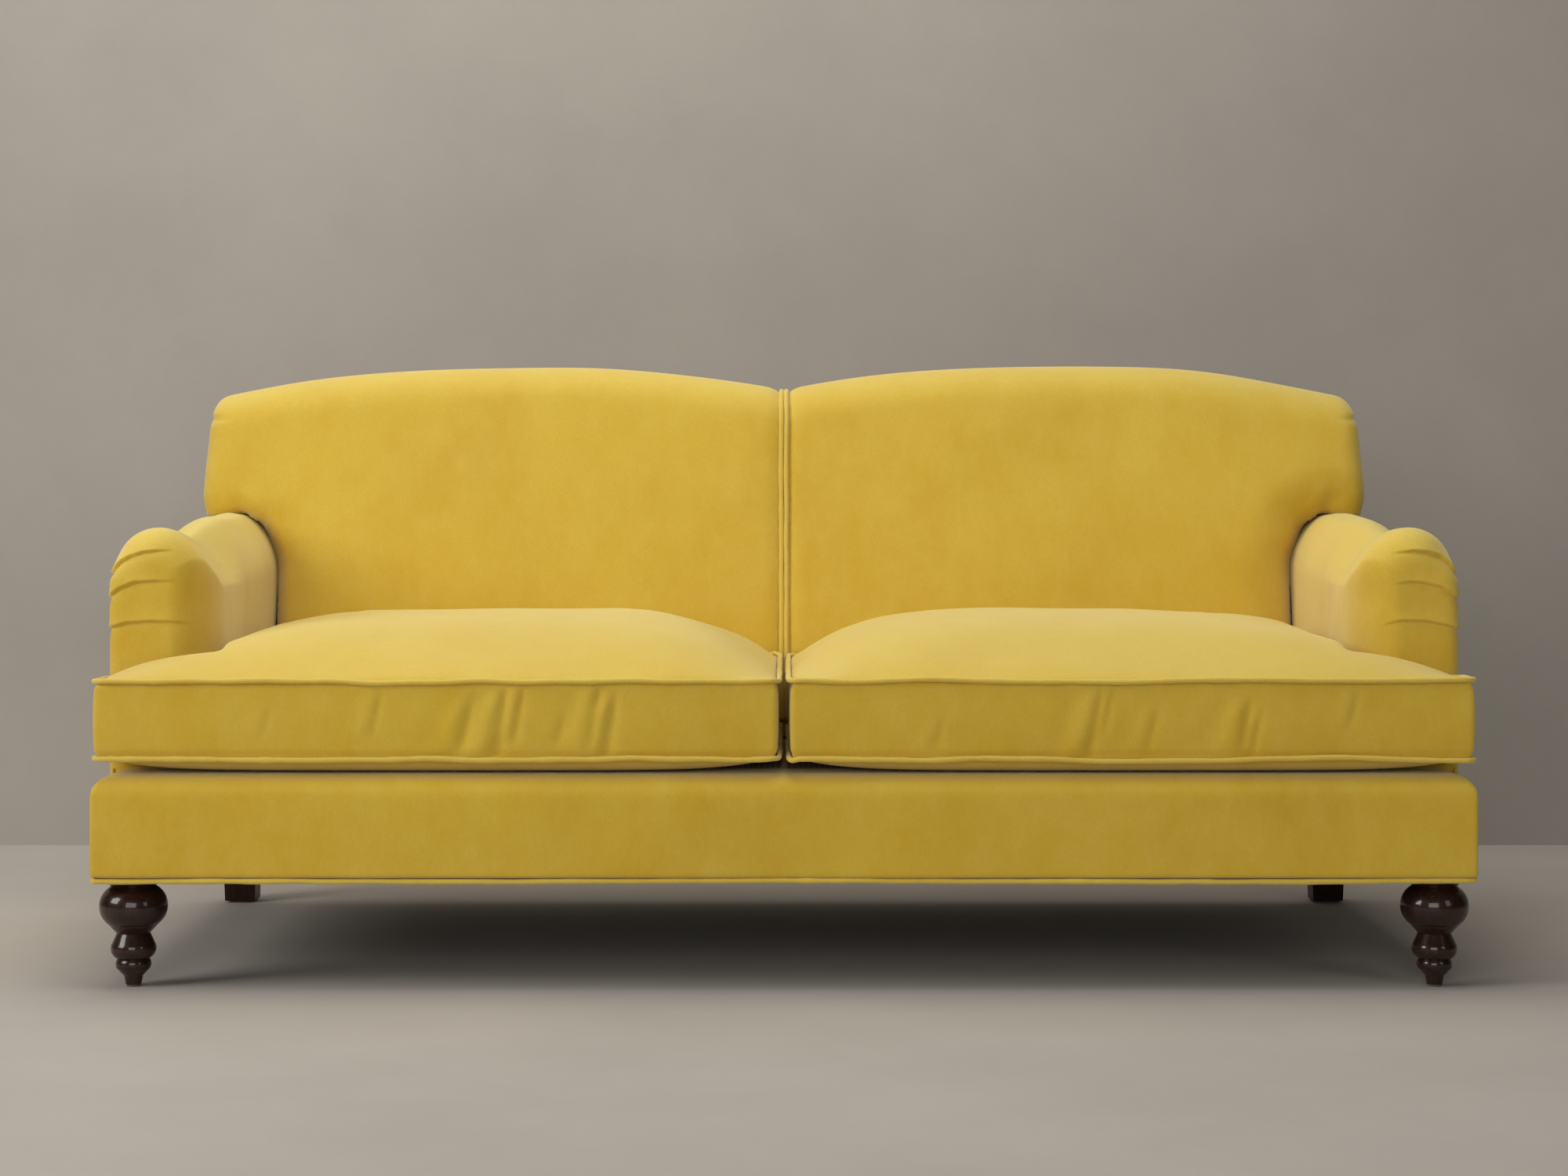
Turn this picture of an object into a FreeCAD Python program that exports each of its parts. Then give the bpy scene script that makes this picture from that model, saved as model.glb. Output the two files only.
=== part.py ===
import FreeCAD, Part
import os
import re
import Sketcher
from FreeCAD import Vector

# English roll arm sofa. Millimetres, +Z up, front towards -Y, floor at Z 0.
# Left is the side of negative X, as seen by someone who faces the sofa.

# Driving dimensions
SIZES = {
    # Seat and base
    "seat_width": 1556,
    "seat_depth": 612,
    "base_height": 142,
    "border_pad": 12,
    "side_pad": 8,
    "deck_pad": 20,
    "border_round": 28,
    "base_welt_diameter": 7,
    # Arms
    "arm_width": 137,
    "arm_setback": 113,
    "arm_height": 326,
    "arm_rise": 22,
    "roll_radius": 58,
    "roll_turn": 60,
    "nose_round": 50,
    "arm_foam": 27,
    "arm_rail_drop": 12,
    "panel_drop": 6,
    # Back
    "back_depth": 293,
    "back_overhang": 65,
    "back_height": 578,
    "back_lean": 149,
    "crown_half": 375,
    "crown_dip": 37,
    "crown_drop": 51,
    "ear_taper": 10,
    "ear_rise": 346,
    "front_roll": 75,
    "rear_roll": 60,
    "side_roll": 28,
    "back_arm_gap": 2,
    "back_welt_diameter": 7,
    "back_welt_pitch": 7.2,
    "back_welt_rise": 28,
    "welt_clearance": 0.15,
    # Hardwood frame
    "rail_thickness": 27,
    "frame_inset": 20,
    "stretcher_width": 45,
    "stretcher_height": 70,
    "stretcher_spacing": 600,
    "block_leg": 110,
    "block_height": 40,
    "post_depth": 45,
    "centre_post_width": 45,
    "crest_drop": 92,
    "crest_height": 30,
    "lower_rail_rise": 16,
    "lower_rail_height": 50,
    "panel_lap": 25,
    # Springs
    "seat_wire": 4,
    "seat_spring_count": 10,
    "seat_spring_turns": 25,
    "seat_spring_width": 46,
    "back_wire": 3.5,
    "back_spring_count": 8,
    "back_spring_turns": 13,
    "back_spring_width": 44,
    "spring_room": 14,
    "spring_clearance": 0.3,
    "clip_width": 16,
    "clip_depth": 8,
    "clip_height": 12,
    # Underside and feet
    "dust_cover_thickness": 2,
    "bolt_inset": 48,
    "bolt_diameter": 8,
    "bolt_in_foot": 40,
    "bolt_end": 4,
    "bolt_clearance": 0.2,
    "nut_diameter": 18,
    "nut_height": 7,
    "glide_height": 3,
    "front_glide_diameter": 18,
    "rear_glide_diameter": 34,
    "leg_inset": 10,
    "leg_top": 56,
    "leg_bottom": 48,
    "leg_rake": 6,
    # Turnings of the front feet, from the floor up
    "tip_rise": 11,
    "tip_radius": 10.4,
    "tip_top_radius": 12.4,
    "flare_rise": 10,
    "flare_radius": 22,
    "ring_rise": 13,
    "ring_radius": 21,
    "ring_swell": 2,
    "bead_rise": 21,
    "bead_radius": 28,
    "bead_swell": 5,
    "neck_rise": 13,
    "neck_radius": 22,
    "bowl_rise": 12,
    "bowl_radius": 33,
    "bulb_rise": 50.5,
    "bulb_radius": 29.5,
    "bulb_swell": 13.75,
    "collar_rise": 8.5,
    "collar_radius": 36,
    # Loose seat cushions
    "cushion_gap": 8,
    "cushion_rear_gap": 12,
    "cushion_seat": 0.3,
    "cushion_inset": 4,
    "cushion_lip": 22,
    "boxing_height": 102,
    "crown_height": 84,
    "crown_peak": 0.62,
    "crown_side_power": 5,
    "crown_depth_power": 2.4,
    "cover_thickness": 2,
    "cushion_welt_diameter": 6,
    "zip_length": 620,
    "zip_width": 30,
    "zip_thickness": 1.5,
    "slider_length": 14,
    "slider_width": 12,
    "slider_thickness": 4,
    "tab_length": 20,
    "tab_width": 8,
    "tab_thickness": 1.5,
}

# Places worked out from the driving dimensions
LAYOUT = {
    "arm_in": "seat_width / 2",
    "half_width": "arm_in + arm_width",
    "full_depth": "seat_depth + back_depth + back_overhang",
    "front_y": "-full_depth / 2",
    "base_rear": "front_y + seat_depth + back_depth",
    "tip_top": "glide_height + tip_rise",
    "flare_top": "tip_top + flare_rise",
    "ring_top": "flare_top + ring_rise",
    "bead_top": "ring_top + bead_rise",
    "neck_top": "bead_top + neck_rise",
    "bowl_top": "neck_top + bowl_rise",
    "bulb_top": "bowl_top + bulb_rise",
    "foot_height": "bulb_top + collar_rise",
    "deck_z": "foot_height + base_height",
    "rail_top": "deck_z - deck_pad",
    "rail_bottom": "foot_height + dust_cover_thickness",
    "wall_bottom": "foot_height + base_welt_diameter",
    "rail_out": "half_width - side_pad",
    "rail_in": "rail_out - rail_thickness",
    "rail_front": "front_y + border_pad",
    "rail_front_in": "rail_front + rail_thickness",
    "rail_rear": "base_rear - side_pad",
    "rail_rear_in": "rail_rear - rail_thickness",
    "frame_out": "half_width - frame_inset",
    "frame_in": "arm_in + arm_foam",
    "post_out": "half_width - roll_radius",
    "arm_front": "front_y + arm_setback",
    "panel_front": "arm_front + nose_round",
    "stump_rear": "panel_front + rail_thickness",
    "arm_top": "deck_z + arm_height",
    "arm_slope": "arm_rise / (seat_depth + back_depth - arm_setback)",
    "roll_z": "arm_top - roll_radius",
    "roll_cos": "cos(roll_turn)",
    "roll_sin": "sin(roll_turn)",
    "shoulder_x": "half_width - roll_radius * (1 + roll_cos)",
    "shoulder_z": "roll_z + roll_radius * roll_sin",
    "inner_radius": "(shoulder_x - arm_in) / (1 - roll_cos)",
    "inner_z": "shoulder_z - inner_radius * roll_sin",
    "arm_rail_top": "roll_z - arm_rail_drop",
    "panel_top": "roll_z - panel_drop",
    "top_z": "deck_z + back_height",
    "face_y": "front_y + seat_depth",
    "face_slope": "back_lean / back_height",
    "rear_slope": "back_overhang / (back_height + deck_pad - rear_roll)",
    "valley_z": "top_z - crown_dip",
    "ear_z": "top_z - crown_drop",
    "ear_x": "half_width - ear_taper",
    "ear_low": "deck_z + ear_rise",
    "ear_flare": "ear_taper * ear_rise / (ear_z - ear_low)",
    "crown_inner": "(crown_half ^ 2 + crown_dip ^ 2) / (2 * crown_dip)",
    "crown_outer": "((ear_x - crown_half) ^ 2 + crown_drop ^ 2) / (2 * crown_drop)",
    "welt_low": "deck_z + back_welt_rise",
    "crest_top": "top_z - crest_drop",
    "crest_bottom": "crest_top - crest_height",
    "back_panel_top": "crest_top - panel_lap",
    "welt_finish": "back_panel_top + back_welt_diameter / 2",
    "lower_rail_z": "deck_z + lower_rail_rise",
    "lower_rail_top": "lower_rail_z + lower_rail_height",
    "block_top": "rail_bottom + block_height",
    "bolt_x": "half_width - bolt_inset",
    "bolt_front": "front_y + bolt_inset",
    "bolt_rear": "base_rear - bolt_inset",
    "leg_x": "half_width - leg_inset - leg_top / 2",
    "leg_y": "base_rear - leg_inset - leg_top / 2",
    "spring_z": "rail_top - seat_wire / 2 - spring_clearance",
    "cushion_z": "deck_z + cushion_seat",
    "boxing_z": "cushion_z + cushion_lip",
    "crown_z": "boxing_z + boxing_height",
    "cushion_top": "crown_z + crown_height",
    "cushion_front": "front_y + cushion_inset",
    "cushion_mid": "cushion_gap",
    "cushion_side": "arm_in - cushion_gap",
    "cushion_ear": "half_width - cushion_gap",
    "ear_rear": "arm_front - cushion_gap",
    "zip_middle": "boxing_z + boxing_height / 2",
    "zip_start": "cushion_mid + (cushion_side - cushion_mid - zip_length) / 2",
}

SPARE = 40          # how far a cutting shape runs past what it cuts
CROWN_COLUMNS = 15  # points across the crowned top of a cushion
CROWN_ROWS = 11     # points along it, front to rear
FLAT = 0.01         # how near a line lies to a plane to count as on it

doc = FreeCAD.newDocument("RollArmSofa")
sizes = doc.addObject("Spreadsheet::Sheet", "Sizes")
layout = doc.addObject("Spreadsheet::Sheet", "Layout")
finished = []


def sized(text):
    """Puts the sheet's name before each size that an expression names."""
    def with_sheet(match):
        word = match.group(0)
        if word in SIZES:
            return "Sizes." + word
        return "Layout." + word if word in LAYOUT else word
    return re.sub(r"[a-z][a-z_]*[a-z]", with_sheet, text)


def fill_sheets():
    for row, (name, number) in enumerate(SIZES.items(), 1):
        sizes.set(f"A{row}", name)
        sizes.set(f"B{row}", str(number))
        sizes.setAlias(f"B{row}", name)
    doc.recompute()
    for row, (name, formula) in enumerate(LAYOUT.items(), 1):
        layout.set(f"A{row}", name)
        layout.set(f"B{row}", "=" + sized(formula))
        layout.setAlias(f"B{row}", name)
    doc.recompute()


def size(name):
    """The number in the cell of that name."""
    return float(getattr(sizes if name in SIZES else layout, name))


scratch_cell = "D1"


def number(text):
    """The value of an expression, read through a spare cell of the layout sheet."""
    layout.set(scratch_cell, "=" + sized(text))
    layout.recompute()
    return float(layout.get(scratch_cell))


def bind(thing, field, text):
    thing.setExpression(field, sized(text))


def keep(thing, label):
    """Names a finished sub-part, which then gets a file of its own."""
    thing.Label = label
    finished.append(thing)
    return thing


# Lines of the raked back, as expressions of the height
def face_at(height):
    return f"(face_y + face_slope * ({height} - deck_z))"


def rear_at(height):
    return f"(base_rear + rear_slope * ({height} - rail_top))"


def panel_at(height):
    return f"({rear_at(height)} - side_pad)"


def post_at(height):
    return f"({panel_at(height)} - post_depth)"


def cavity_at(height):
    return f"({post_at(height)} - spring_room)"


# Makers of solids
def box(low, high, label="box"):
    """A box between two corners, each three expressions."""
    made = doc.addObject("Part::Box", label)
    for side, axis, start, end in zip(("Length", "Width", "Height"), "xyz", low, high):
        bind(made, side, f"({end}) - ({start})")
        bind(made, f"Placement.Base.{axis}", start)
    return made


def cylinder(diameter, height, x, y, z, label="cylinder"):
    made = doc.addObject("Part::Cylinder", label)
    bind(made, "Radius", f"({diameter}) / 2")
    bind(made, "Height", height)
    for axis, text in zip("xyz", (x, y, z)):
        bind(made, f"Placement.Base.{axis}", text)
    return made


def cut(base, *tools):
    for tool in tools:
        made = doc.addObject("Part::Cut", "cut")
        made.Base = base
        made.Tool = tool
        base = made
    return base


def common(*shapes):
    made = doc.addObject("Part::MultiCommon", "common")
    made.Shapes = list(shapes)
    return made


def group(*pieces):
    made = doc.addObject("Part::Compound", "group")
    made.Links = list(pieces)
    return made


def mirror(source):
    """The same piece on the other side of the sofa."""
    made = doc.addObject("Part::Mirroring", "mirror")
    made.Source = source
    made.Normal = Vector(1, 0, 0)
    return made


def keep_pair(piece, name):
    """Keeps a piece as left_NAME and its mirror image as right_NAME."""
    keep(piece, "left_" + name)
    keep(mirror(piece), "right_" + name)


def new_body(label="body"):
    return doc.addObject("PartDesign::Body", label)


def arc_between(start, end, radius, turn):
    """The short arc from start to end; turn is 1 for counter-clockwise, -1 for clockwise."""
    middle = (start + end) / 2
    chord = end - start
    reach = max(radius ** 2 - chord.Length ** 2 / 4, 0) ** 0.5
    centre = middle + Vector(-chord.y, chord.x, 0).normalize() * reach * turn
    ends = (start, end) if turn > 0 else (end, start)
    angles = []
    for point in ends:
        above = 1 if point.y >= centre.y else -1
        angles.append(Vector(1, 0, 0).getAngle(point - centre) * above)
    return Part.ArcOfCircle(Part.Circle(centre, Vector(0, 0, 1), radius), *angles)


def swell(start, end, amount):
    """The radius, as an expression, of an arc that stands out from its chord by that amount."""
    chord = f"(({end[0]} - ({start[0]})) ^ 2 + ({end[1]} - ({start[1]})) ^ 2)"
    return f"({chord} / (8 * {amount}) + {amount} / 2)"


def draw(body, plane, corners, offset="0"):
    """Draws a closed outline on one of the body's own planes.

    A corner is (across, up), or (across, up, radius, turn) where an arc leads to the next one.
    """
    sketch = body.newObject("Sketcher::SketchObject", "outline")
    support = next(each for each in body.Origin.OriginFeatures if each.Role == plane + "_Plane")
    sketch.AttachmentSupport = [(support, "")]
    sketch.MapMode = "FlatFace"
    bind(sketch, "AttachmentOffset.Base.z", offset)
    points = [Vector(number(corner[0]), number(corner[1]), 0) for corner in corners]
    starts = []
    for index, corner in enumerate(corners):
        start, end = points[index], points[(index + 1) % len(points)]
        if len(corner) == 2:
            sketch.addGeometry(Part.LineSegment(start, end), False)
            starts.append(1)
            continue
        sketch.addGeometry(arc_between(start, end, number(corner[2]), corner[3]), False)
        starts.append(1 if corner[3] > 0 else 2)
    for index, corner in enumerate(corners):
        following = (index + 1) % len(corners)
        sketch.addConstraint(
            Sketcher.Constraint("Coincident", index, 3 - starts[index], following, starts[following])
        )
        for kind, text in zip(("DistanceX", "DistanceY"), corner):
            place = sketch.addConstraint(
                Sketcher.Constraint(kind, -1, 1, index, starts[index], number(text))
            )
            bind(sketch, f"Constraints[{place}]", text)
        if len(corner) == 4:
            place = sketch.addConstraint(Sketcher.Constraint("Radius", index, number(corner[2])))
            bind(sketch, f"Constraints[{place}]", corner[2])
    return sketch


def pad(body, sketch, length, reverse=False):
    made = body.newObject("PartDesign::Pad", "pad")
    made.Profile = sketch
    made.Reversed = reverse
    bind(made, "Length", length)
    return made


def prism(plane, corners, start, length, label="prism"):
    """An outline carried along the plane's own axis (X for YZ, Y for XZ, Z for XY)."""
    body = new_body(label)
    backwards = plane == "XZ"
    sketch = draw(body, plane, corners, f"-({start})" if backwards else start)
    pad(body, sketch, length, backwards)
    return body


def soften(body, chosen, radius):
    """Rounds the edges of a body that a test picks."""
    doc.recompute()
    edges = [f"Edge{place}" for place, edge in enumerate(body.Tip.Shape.Edges, 1) if chosen(edge)]
    if not edges:
        raise RuntimeError(f"no edge to round on {body.Label}")
    before = body.Tip
    made = body.newObject("PartDesign::Fillet", "round")
    made.Base = (before, edges)
    bind(made, "Radius", radius)
    return made


def spots(edge):
    """Both ends and the middle of an edge."""
    low, high = edge.ParameterRange
    return [edge.valueAt(low), edge.valueAt((low + high) / 2), edge.valueAt(high)]


def on_plane(edge, distance):
    """Whether an edge lies where the given function of a point is zero."""
    return all(abs(distance(point)) < FLAT for point in spots(edge))


def tube(edges, diameter):
    """A round cord along straight runs and tangent arcs."""
    path = Part.Wire(edges)
    first = path.OrderedEdges[0]
    start = first.valueAt(first.FirstParameter)
    heading = first.tangentAt(first.FirstParameter)
    ring = Part.Wire(Part.makeCircle(diameter / 2, start, heading))
    solid = path.makePipeShell([ring], True, True)
    return solid if solid.ShapeType == "Solid" else Part.Solid(Part.Shell(solid.Faces))


def shaped(shape):
    made = doc.addObject("Part::Feature", "shaped")
    made.Shape = shape
    return made


def rounded_loop(corners, radius, height):
    """A level loop through corners with an arc of the given radius at each."""
    edges = []
    turns = []
    for index, corner in enumerate(corners):
        before = (corners[index - 1] - corner).normalize()
        after = (corners[(index + 1) % len(corners)] - corner).normalize()
        inward = (before + after).normalize()
        middle = corner + inward * radius * (2 ** 0.5 - 1)
        turns.append((corner + before * radius, middle, corner + after * radius))
    for index, (start, middle, end) in enumerate(turns):
        edges.append(Part.Arc(start, middle, end).toShape())
        edges.append(Part.LineSegment(end, turns[(index + 1) % len(turns)][0]).toShape())
    edges = edges[-1:] + edges[:-1]
    for edge in edges:
        edge.translate(Vector(0, 0, height))
    return edges


def zigzag(start, along, across, length, width, turns):
    """Centre line of a sinuous spring: level runs joined by half circles, with a stem at each end."""
    pitch = length / (turns + 1)
    bend = pitch / 2
    reach = width / 2 - bend

    def at(side, forward):
        return start + across * side + along * forward

    diagonal = bend * 0.5 ** 0.5
    edges = [Part.Arc(at(0, 0), at(bend - diagonal, diagonal), at(bend, bend)).toShape()]
    side = 1
    before = bend
    for turn in range(turns):
        forward = bend + turn * pitch
        edges.append(Part.LineSegment(at(before, forward), at(side * reach, forward)).toShape())
        edges.append(
            Part.Arc(
                at(side * reach, forward),
                at(side * (reach + bend), forward + bend),
                at(side * reach, forward + pitch),
            ).toShape()
        )
        before = side * reach
        side = -side
    last = bend + turns * pitch
    turn_in = at(-side * bend, last)
    edges.append(Part.LineSegment(at(before, last), turn_in).toShape())
    halfway = at(-side * (bend - diagonal), last + bend - diagonal)
    edges.append(Part.Arc(turn_in, halfway, at(0, length)).toShape())
    return edges


# Feet, legs and their fixings
def front_foot():
    body = new_body("front_foot")
    turnings = [
        ("tip_radius", "glide_height"),
        ("tip_top_radius", "tip_top"),
        ("flare_radius", "flare_top"),
        ("ring_radius", "ring_top"),
        ("bead_radius", "bead_top"),
        ("neck_radius", "neck_top"),
        ("bowl_radius", "bowl_top"),
        ("bulb_radius", "bulb_top"),
        ("collar_radius", "foot_height"),
    ]
    swells = {2: "ring_swell", 3: "bead_swell", 6: "bulb_swell"}
    outline = [("0", "glide_height")]
    for place, point in enumerate(turnings):
        if place in swells:
            point = point + (swell(point, turnings[place + 1], swells[place]), 1)
        outline.append(point)
    outline.append(("0", "foot_height"))
    sketch = draw(body, "XZ", outline)
    turned = body.newObject("PartDesign::Revolution", "turning")
    turned.Profile = sketch
    turned.ReferenceAxis = (sketch, ["V_Axis"])
    turned.Angle = 360
    bind(body, "Placement.Base.x", "-bolt_x")
    bind(body, "Placement.Base.y", "bolt_front")
    return body


def rear_leg():
    body = new_body("rear_leg")
    square = [("-1", "-1"), ("1", "-1"), ("1", "1"), ("-1", "1")]

    def ring(width, shift, height):
        corners = [(f"{x} * {width} / 2", f"{y} * {width} / 2 + {shift}") for x, y in square]
        return draw(body, "XY", corners, height)

    loft = body.newObject("PartDesign::AdditiveLoft", "taper")
    loft.Profile = ring("leg_bottom", "leg_rake", "glide_height")
    loft.Sections = [ring("leg_top", "0", "foot_height")]
    bind(body, "Placement.Base.x", "-leg_x")
    bind(body, "Placement.Base.y", "leg_y")
    return body


def bolt_hole(x, y, bottom, top):
    return cylinder("bolt_diameter + 2 * bolt_clearance", f"{top} - ({bottom})", x, y, bottom)


def feet():
    corners = [("-bolt_x", "bolt_front"), ("-bolt_x", "bolt_rear")]
    bolt_low = "foot_height - bolt_in_foot"
    bolt_top = "block_top + nut_height + bolt_end"
    front_hole, rear_hole = [bolt_hole(x, y, bolt_low, f"foot_height + {SPARE}") for x, y in corners]
    keep_pair(cut(front_foot(), front_hole), "front_foot")
    keep_pair(cut(rear_leg(), rear_hole), "rear_leg")
    bolts = [cylinder("bolt_diameter", f"{bolt_top} - ({bolt_low})", x, y, bolt_low) for x, y in corners]
    keep(group(*bolts, *[mirror(bolt) for bolt in bolts]), "foot_hanger_bolts")
    nuts = []
    for x, y in corners:
        blank = cylinder("nut_diameter", "nut_height", x, y, "block_top")
        nuts.append(cut(blank, bolt_hole(x, y, "block_top - bolt_end", bolt_top)))
    keep(group(*nuts, *[mirror(nut) for nut in nuts]), "foot_lock_nuts")
    glides = [
        cylinder("front_glide_diameter", "glide_height", "-bolt_x", "bolt_front", "0"),
        cylinder("rear_glide_diameter", "glide_height", "-leg_x", "leg_y + leg_rake", "0"),
    ]
    keep(group(*glides, *[mirror(glide) for glide in glides]), "foot_glides")


# Hardwood seat frame
def seat_frame():
    keep(
        box(("-rail_in", "rail_front", "rail_bottom"), ("rail_in", "rail_front_in", "rail_top")),
        "front_seat_rail",
    )
    keep(
        box(("-rail_in", "rail_rear_in", "rail_bottom"), ("rail_in", "rail_rear", "rail_top")),
        "rear_seat_rail",
    )
    keep_pair(
        box(("-rail_out", "rail_front", "rail_bottom"), ("-rail_in", "rail_rear", "rail_top")),
        "side_rail",
    )
    stretcher = box(
        ("-(stretcher_spacing + stretcher_width) / 2", "rail_front_in", "rail_bottom"),
        ("-(stretcher_spacing - stretcher_width) / 2", "rail_rear_in", "rail_bottom + stretcher_height"),
    )
    keep(group(stretcher, mirror(stretcher)), "seat_stretchers")
    blocks = []
    corners = (("rail_front_in", "+", "bolt_front"), ("rail_rear_in", "-", "bolt_rear"))
    for corner_y, inward, bolt_y in corners:
        triangle = [
            ("-rail_in", corner_y),
            ("-rail_in + block_leg", corner_y),
            ("-rail_in", f"{corner_y} {inward} block_leg"),
        ]
        blank = prism("XY", triangle, "rail_bottom", "block_height")
        hole = bolt_hole("-bolt_x", bolt_y, f"rail_bottom - {SPARE}", f"block_top + {SPARE}")
        blocks.append(cut(blank, hole))
    keep(group(*blocks, *[mirror(block) for block in blocks]), "corner_blocks")
    sheet = box(("-rail_out", "rail_front", "foot_height"), ("rail_out", "rail_rear", "rail_bottom"))
    holes = [
        bolt_hole(f"{sign}bolt_x", y, f"foot_height - {SPARE}", f"rail_bottom + {SPARE}")
        for sign in ("-", "")
        for y in ("bolt_front", "bolt_rear")
    ]
    keep(cut(sheet, *holes), "dust_cover")


# Frames of the arms and the back
def leaning(low, high, front=post_at, rear=panel_at):
    """The side outline of a board that leans with the back."""
    return [(front(low), low), (rear(low), low), (rear(high), high), (front(high), high)]


def arm_frame():
    stump = box(("-frame_out", "panel_front", "rail_top"), ("-frame_in", "stump_rear", "arm_rail_top"))
    keep_pair(stump, "arm_stump")
    rail_low = "(arm_rail_top - rail_thickness)"
    flush = [("stump_rear", rail_low), (post_at(rail_low), rail_low)]
    flush += [(post_at("arm_rail_top"), "arm_rail_top"), ("stump_rear", "arm_rail_top")]
    keep_pair(prism("YZ", flush, "-frame_out", "frame_out - frame_in"), "arm_top_rail")
    lower = [("stump_rear", "lower_rail_z"), (post_at("lower_rail_z"), "lower_rail_z")]
    lower += [(post_at("lower_rail_top"), "lower_rail_top"), ("stump_rear", "lower_rail_top")]
    keep_pair(prism("YZ", lower, "-frame_in - rail_thickness", "rail_thickness"), "arm_tack_rail")


def back_frame():
    post = leaning("rail_top", "crest_bottom")
    keep_pair(prism("YZ", post, "-post_out", "post_out - frame_in"), "back_post")
    keep(prism("YZ", post, "-centre_post_width / 2", "centre_post_width"), "centre_back_post")
    keep(prism("YZ", leaning("crest_bottom", "crest_top"), "-frame_out", "2 * frame_out"), "back_crest_rail")
    lower = prism(
        "YZ", leaning("lower_rail_z", "lower_rail_top"), "-frame_in", "frame_in - centre_post_width / 2"
    )
    keep(group(lower, mirror(lower)), "lower_back_rails")


# Springs and their clips
def seat_springs():
    count = int(size("seat_spring_count"))
    spread = 2 * size("arm_in") / count
    start_y = size("rail_front_in") + size("clip_depth")
    length = size("rail_rear_in") - size("clip_depth") - start_y
    springs = []
    clips = []
    for place in range(count):
        x = (place - (count - 1) / 2) * spread
        path = zigzag(
            Vector(x, start_y, size("spring_z")), Vector(0, 1, 0), Vector(1, 0, 0),
            length, size("seat_spring_width"), int(size("seat_spring_turns")),
        )
        springs.append(shaped(tube(path, size("seat_wire"))))
        middle = f"({place} - (seat_spring_count - 1) / 2) * 2 * arm_in / seat_spring_count"
        for front, rear in (
            ("rail_front_in", "rail_front_in + clip_depth"),
            ("rail_rear_in - clip_depth", "rail_rear_in"),
        ):
            clips.append(
                box(
                    (f"{middle} - clip_width / 2", front, "rail_top - clip_height"),
                    (f"{middle} + clip_width / 2", rear, "rail_top"),
                )
            )
    keep(group(*springs), "seat_springs")
    keep(group(*clips), "seat_spring_clips")


def back_springs():
    count = int(size("back_spring_count"))
    low = "(lower_rail_top - clip_height)"
    high = "(crest_bottom + clip_height)"

    def on_frame(height):
        gap = size("back_wire") / 2 + size("spring_clearance")
        return number(f"{post_at(height)}") - gap

    bottom = Vector(0, on_frame("lower_rail_top"), size("lower_rail_top"))
    along = Vector(0, on_frame("crest_bottom"), size("crest_bottom")) - bottom
    springs = []
    clips = []
    for place in range(count):
        middle = f"({place} - (back_spring_count - 1) / 2) * 2 * arm_in / back_spring_count"
        path = zigzag(
            bottom + Vector(number(middle), 0, 0), Vector(along).normalize(), Vector(1, 0, 0),
            along.Length, size("back_spring_width"), int(size("back_spring_turns")),
        )
        springs.append(shaped(tube(path, size("back_wire"))))
        for start, end in ((low, "lower_rail_top"), ("crest_bottom", high)):
            outline = leaning(start, end, lambda height: f"({post_at(height)} - clip_depth)", post_at)
            clips.append(prism("YZ", outline, f"{middle} - clip_width / 2", "clip_width"))
    keep(group(*springs), "back_springs")
    keep(group(*clips), "back_spring_clips")


# Fixed upholstery
def front_border():
    body = new_body("border")
    plan = [
        ("-half_width", "front_y"), ("half_width", "front_y"),
        ("half_width", "arm_front"), ("-half_width", "arm_front"),
    ]
    pad(body, draw(body, "XY", plan, "wall_bottom"), "deck_z - wall_bottom")
    deck = size("deck_z")
    rear = size("arm_front")
    soften(
        body,
        lambda edge: on_plane(edge, lambda point: point.z - deck)
        and not on_plane(edge, lambda point: point.y - rear),
        "border_round",
    )
    hollow = box(
        ("-rail_out", "rail_front", f"wall_bottom - {SPARE}"),
        ("rail_out", f"arm_front + {SPARE}", "rail_top"),
    )
    keep(cut(body, hollow), "front_border")


def seat_deck():
    keep(
        box(("-arm_in", "arm_front", "rail_top"), ("arm_in", cavity_at("rail_top"), "deck_z")),
        "seat_deck",
    )


def outside_arm_outline():
    """Side outline of the panel that closes the outside of an arm."""
    return [
        ("arm_front", "wall_bottom"),
        ("rail_rear", "wall_bottom"),
        ("rail_rear", "rail_top"),
        (panel_at("panel_top"), "panel_top"),
        ("panel_front", "panel_top"),
        ("panel_front", "deck_z"),
        ("arm_front", "deck_z"),
    ]


def tilted_pad(body, sketch, length):
    """Carries an outline to the rear while it rises with the arm."""
    made = pad(body, sketch, length, True)
    made.UseCustomVector = True
    made.AlongSketchNormal = True
    made.Direction = Vector(0, -1, 0)
    bind(made, "Direction.z", "-arm_slope")
    return made


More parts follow.
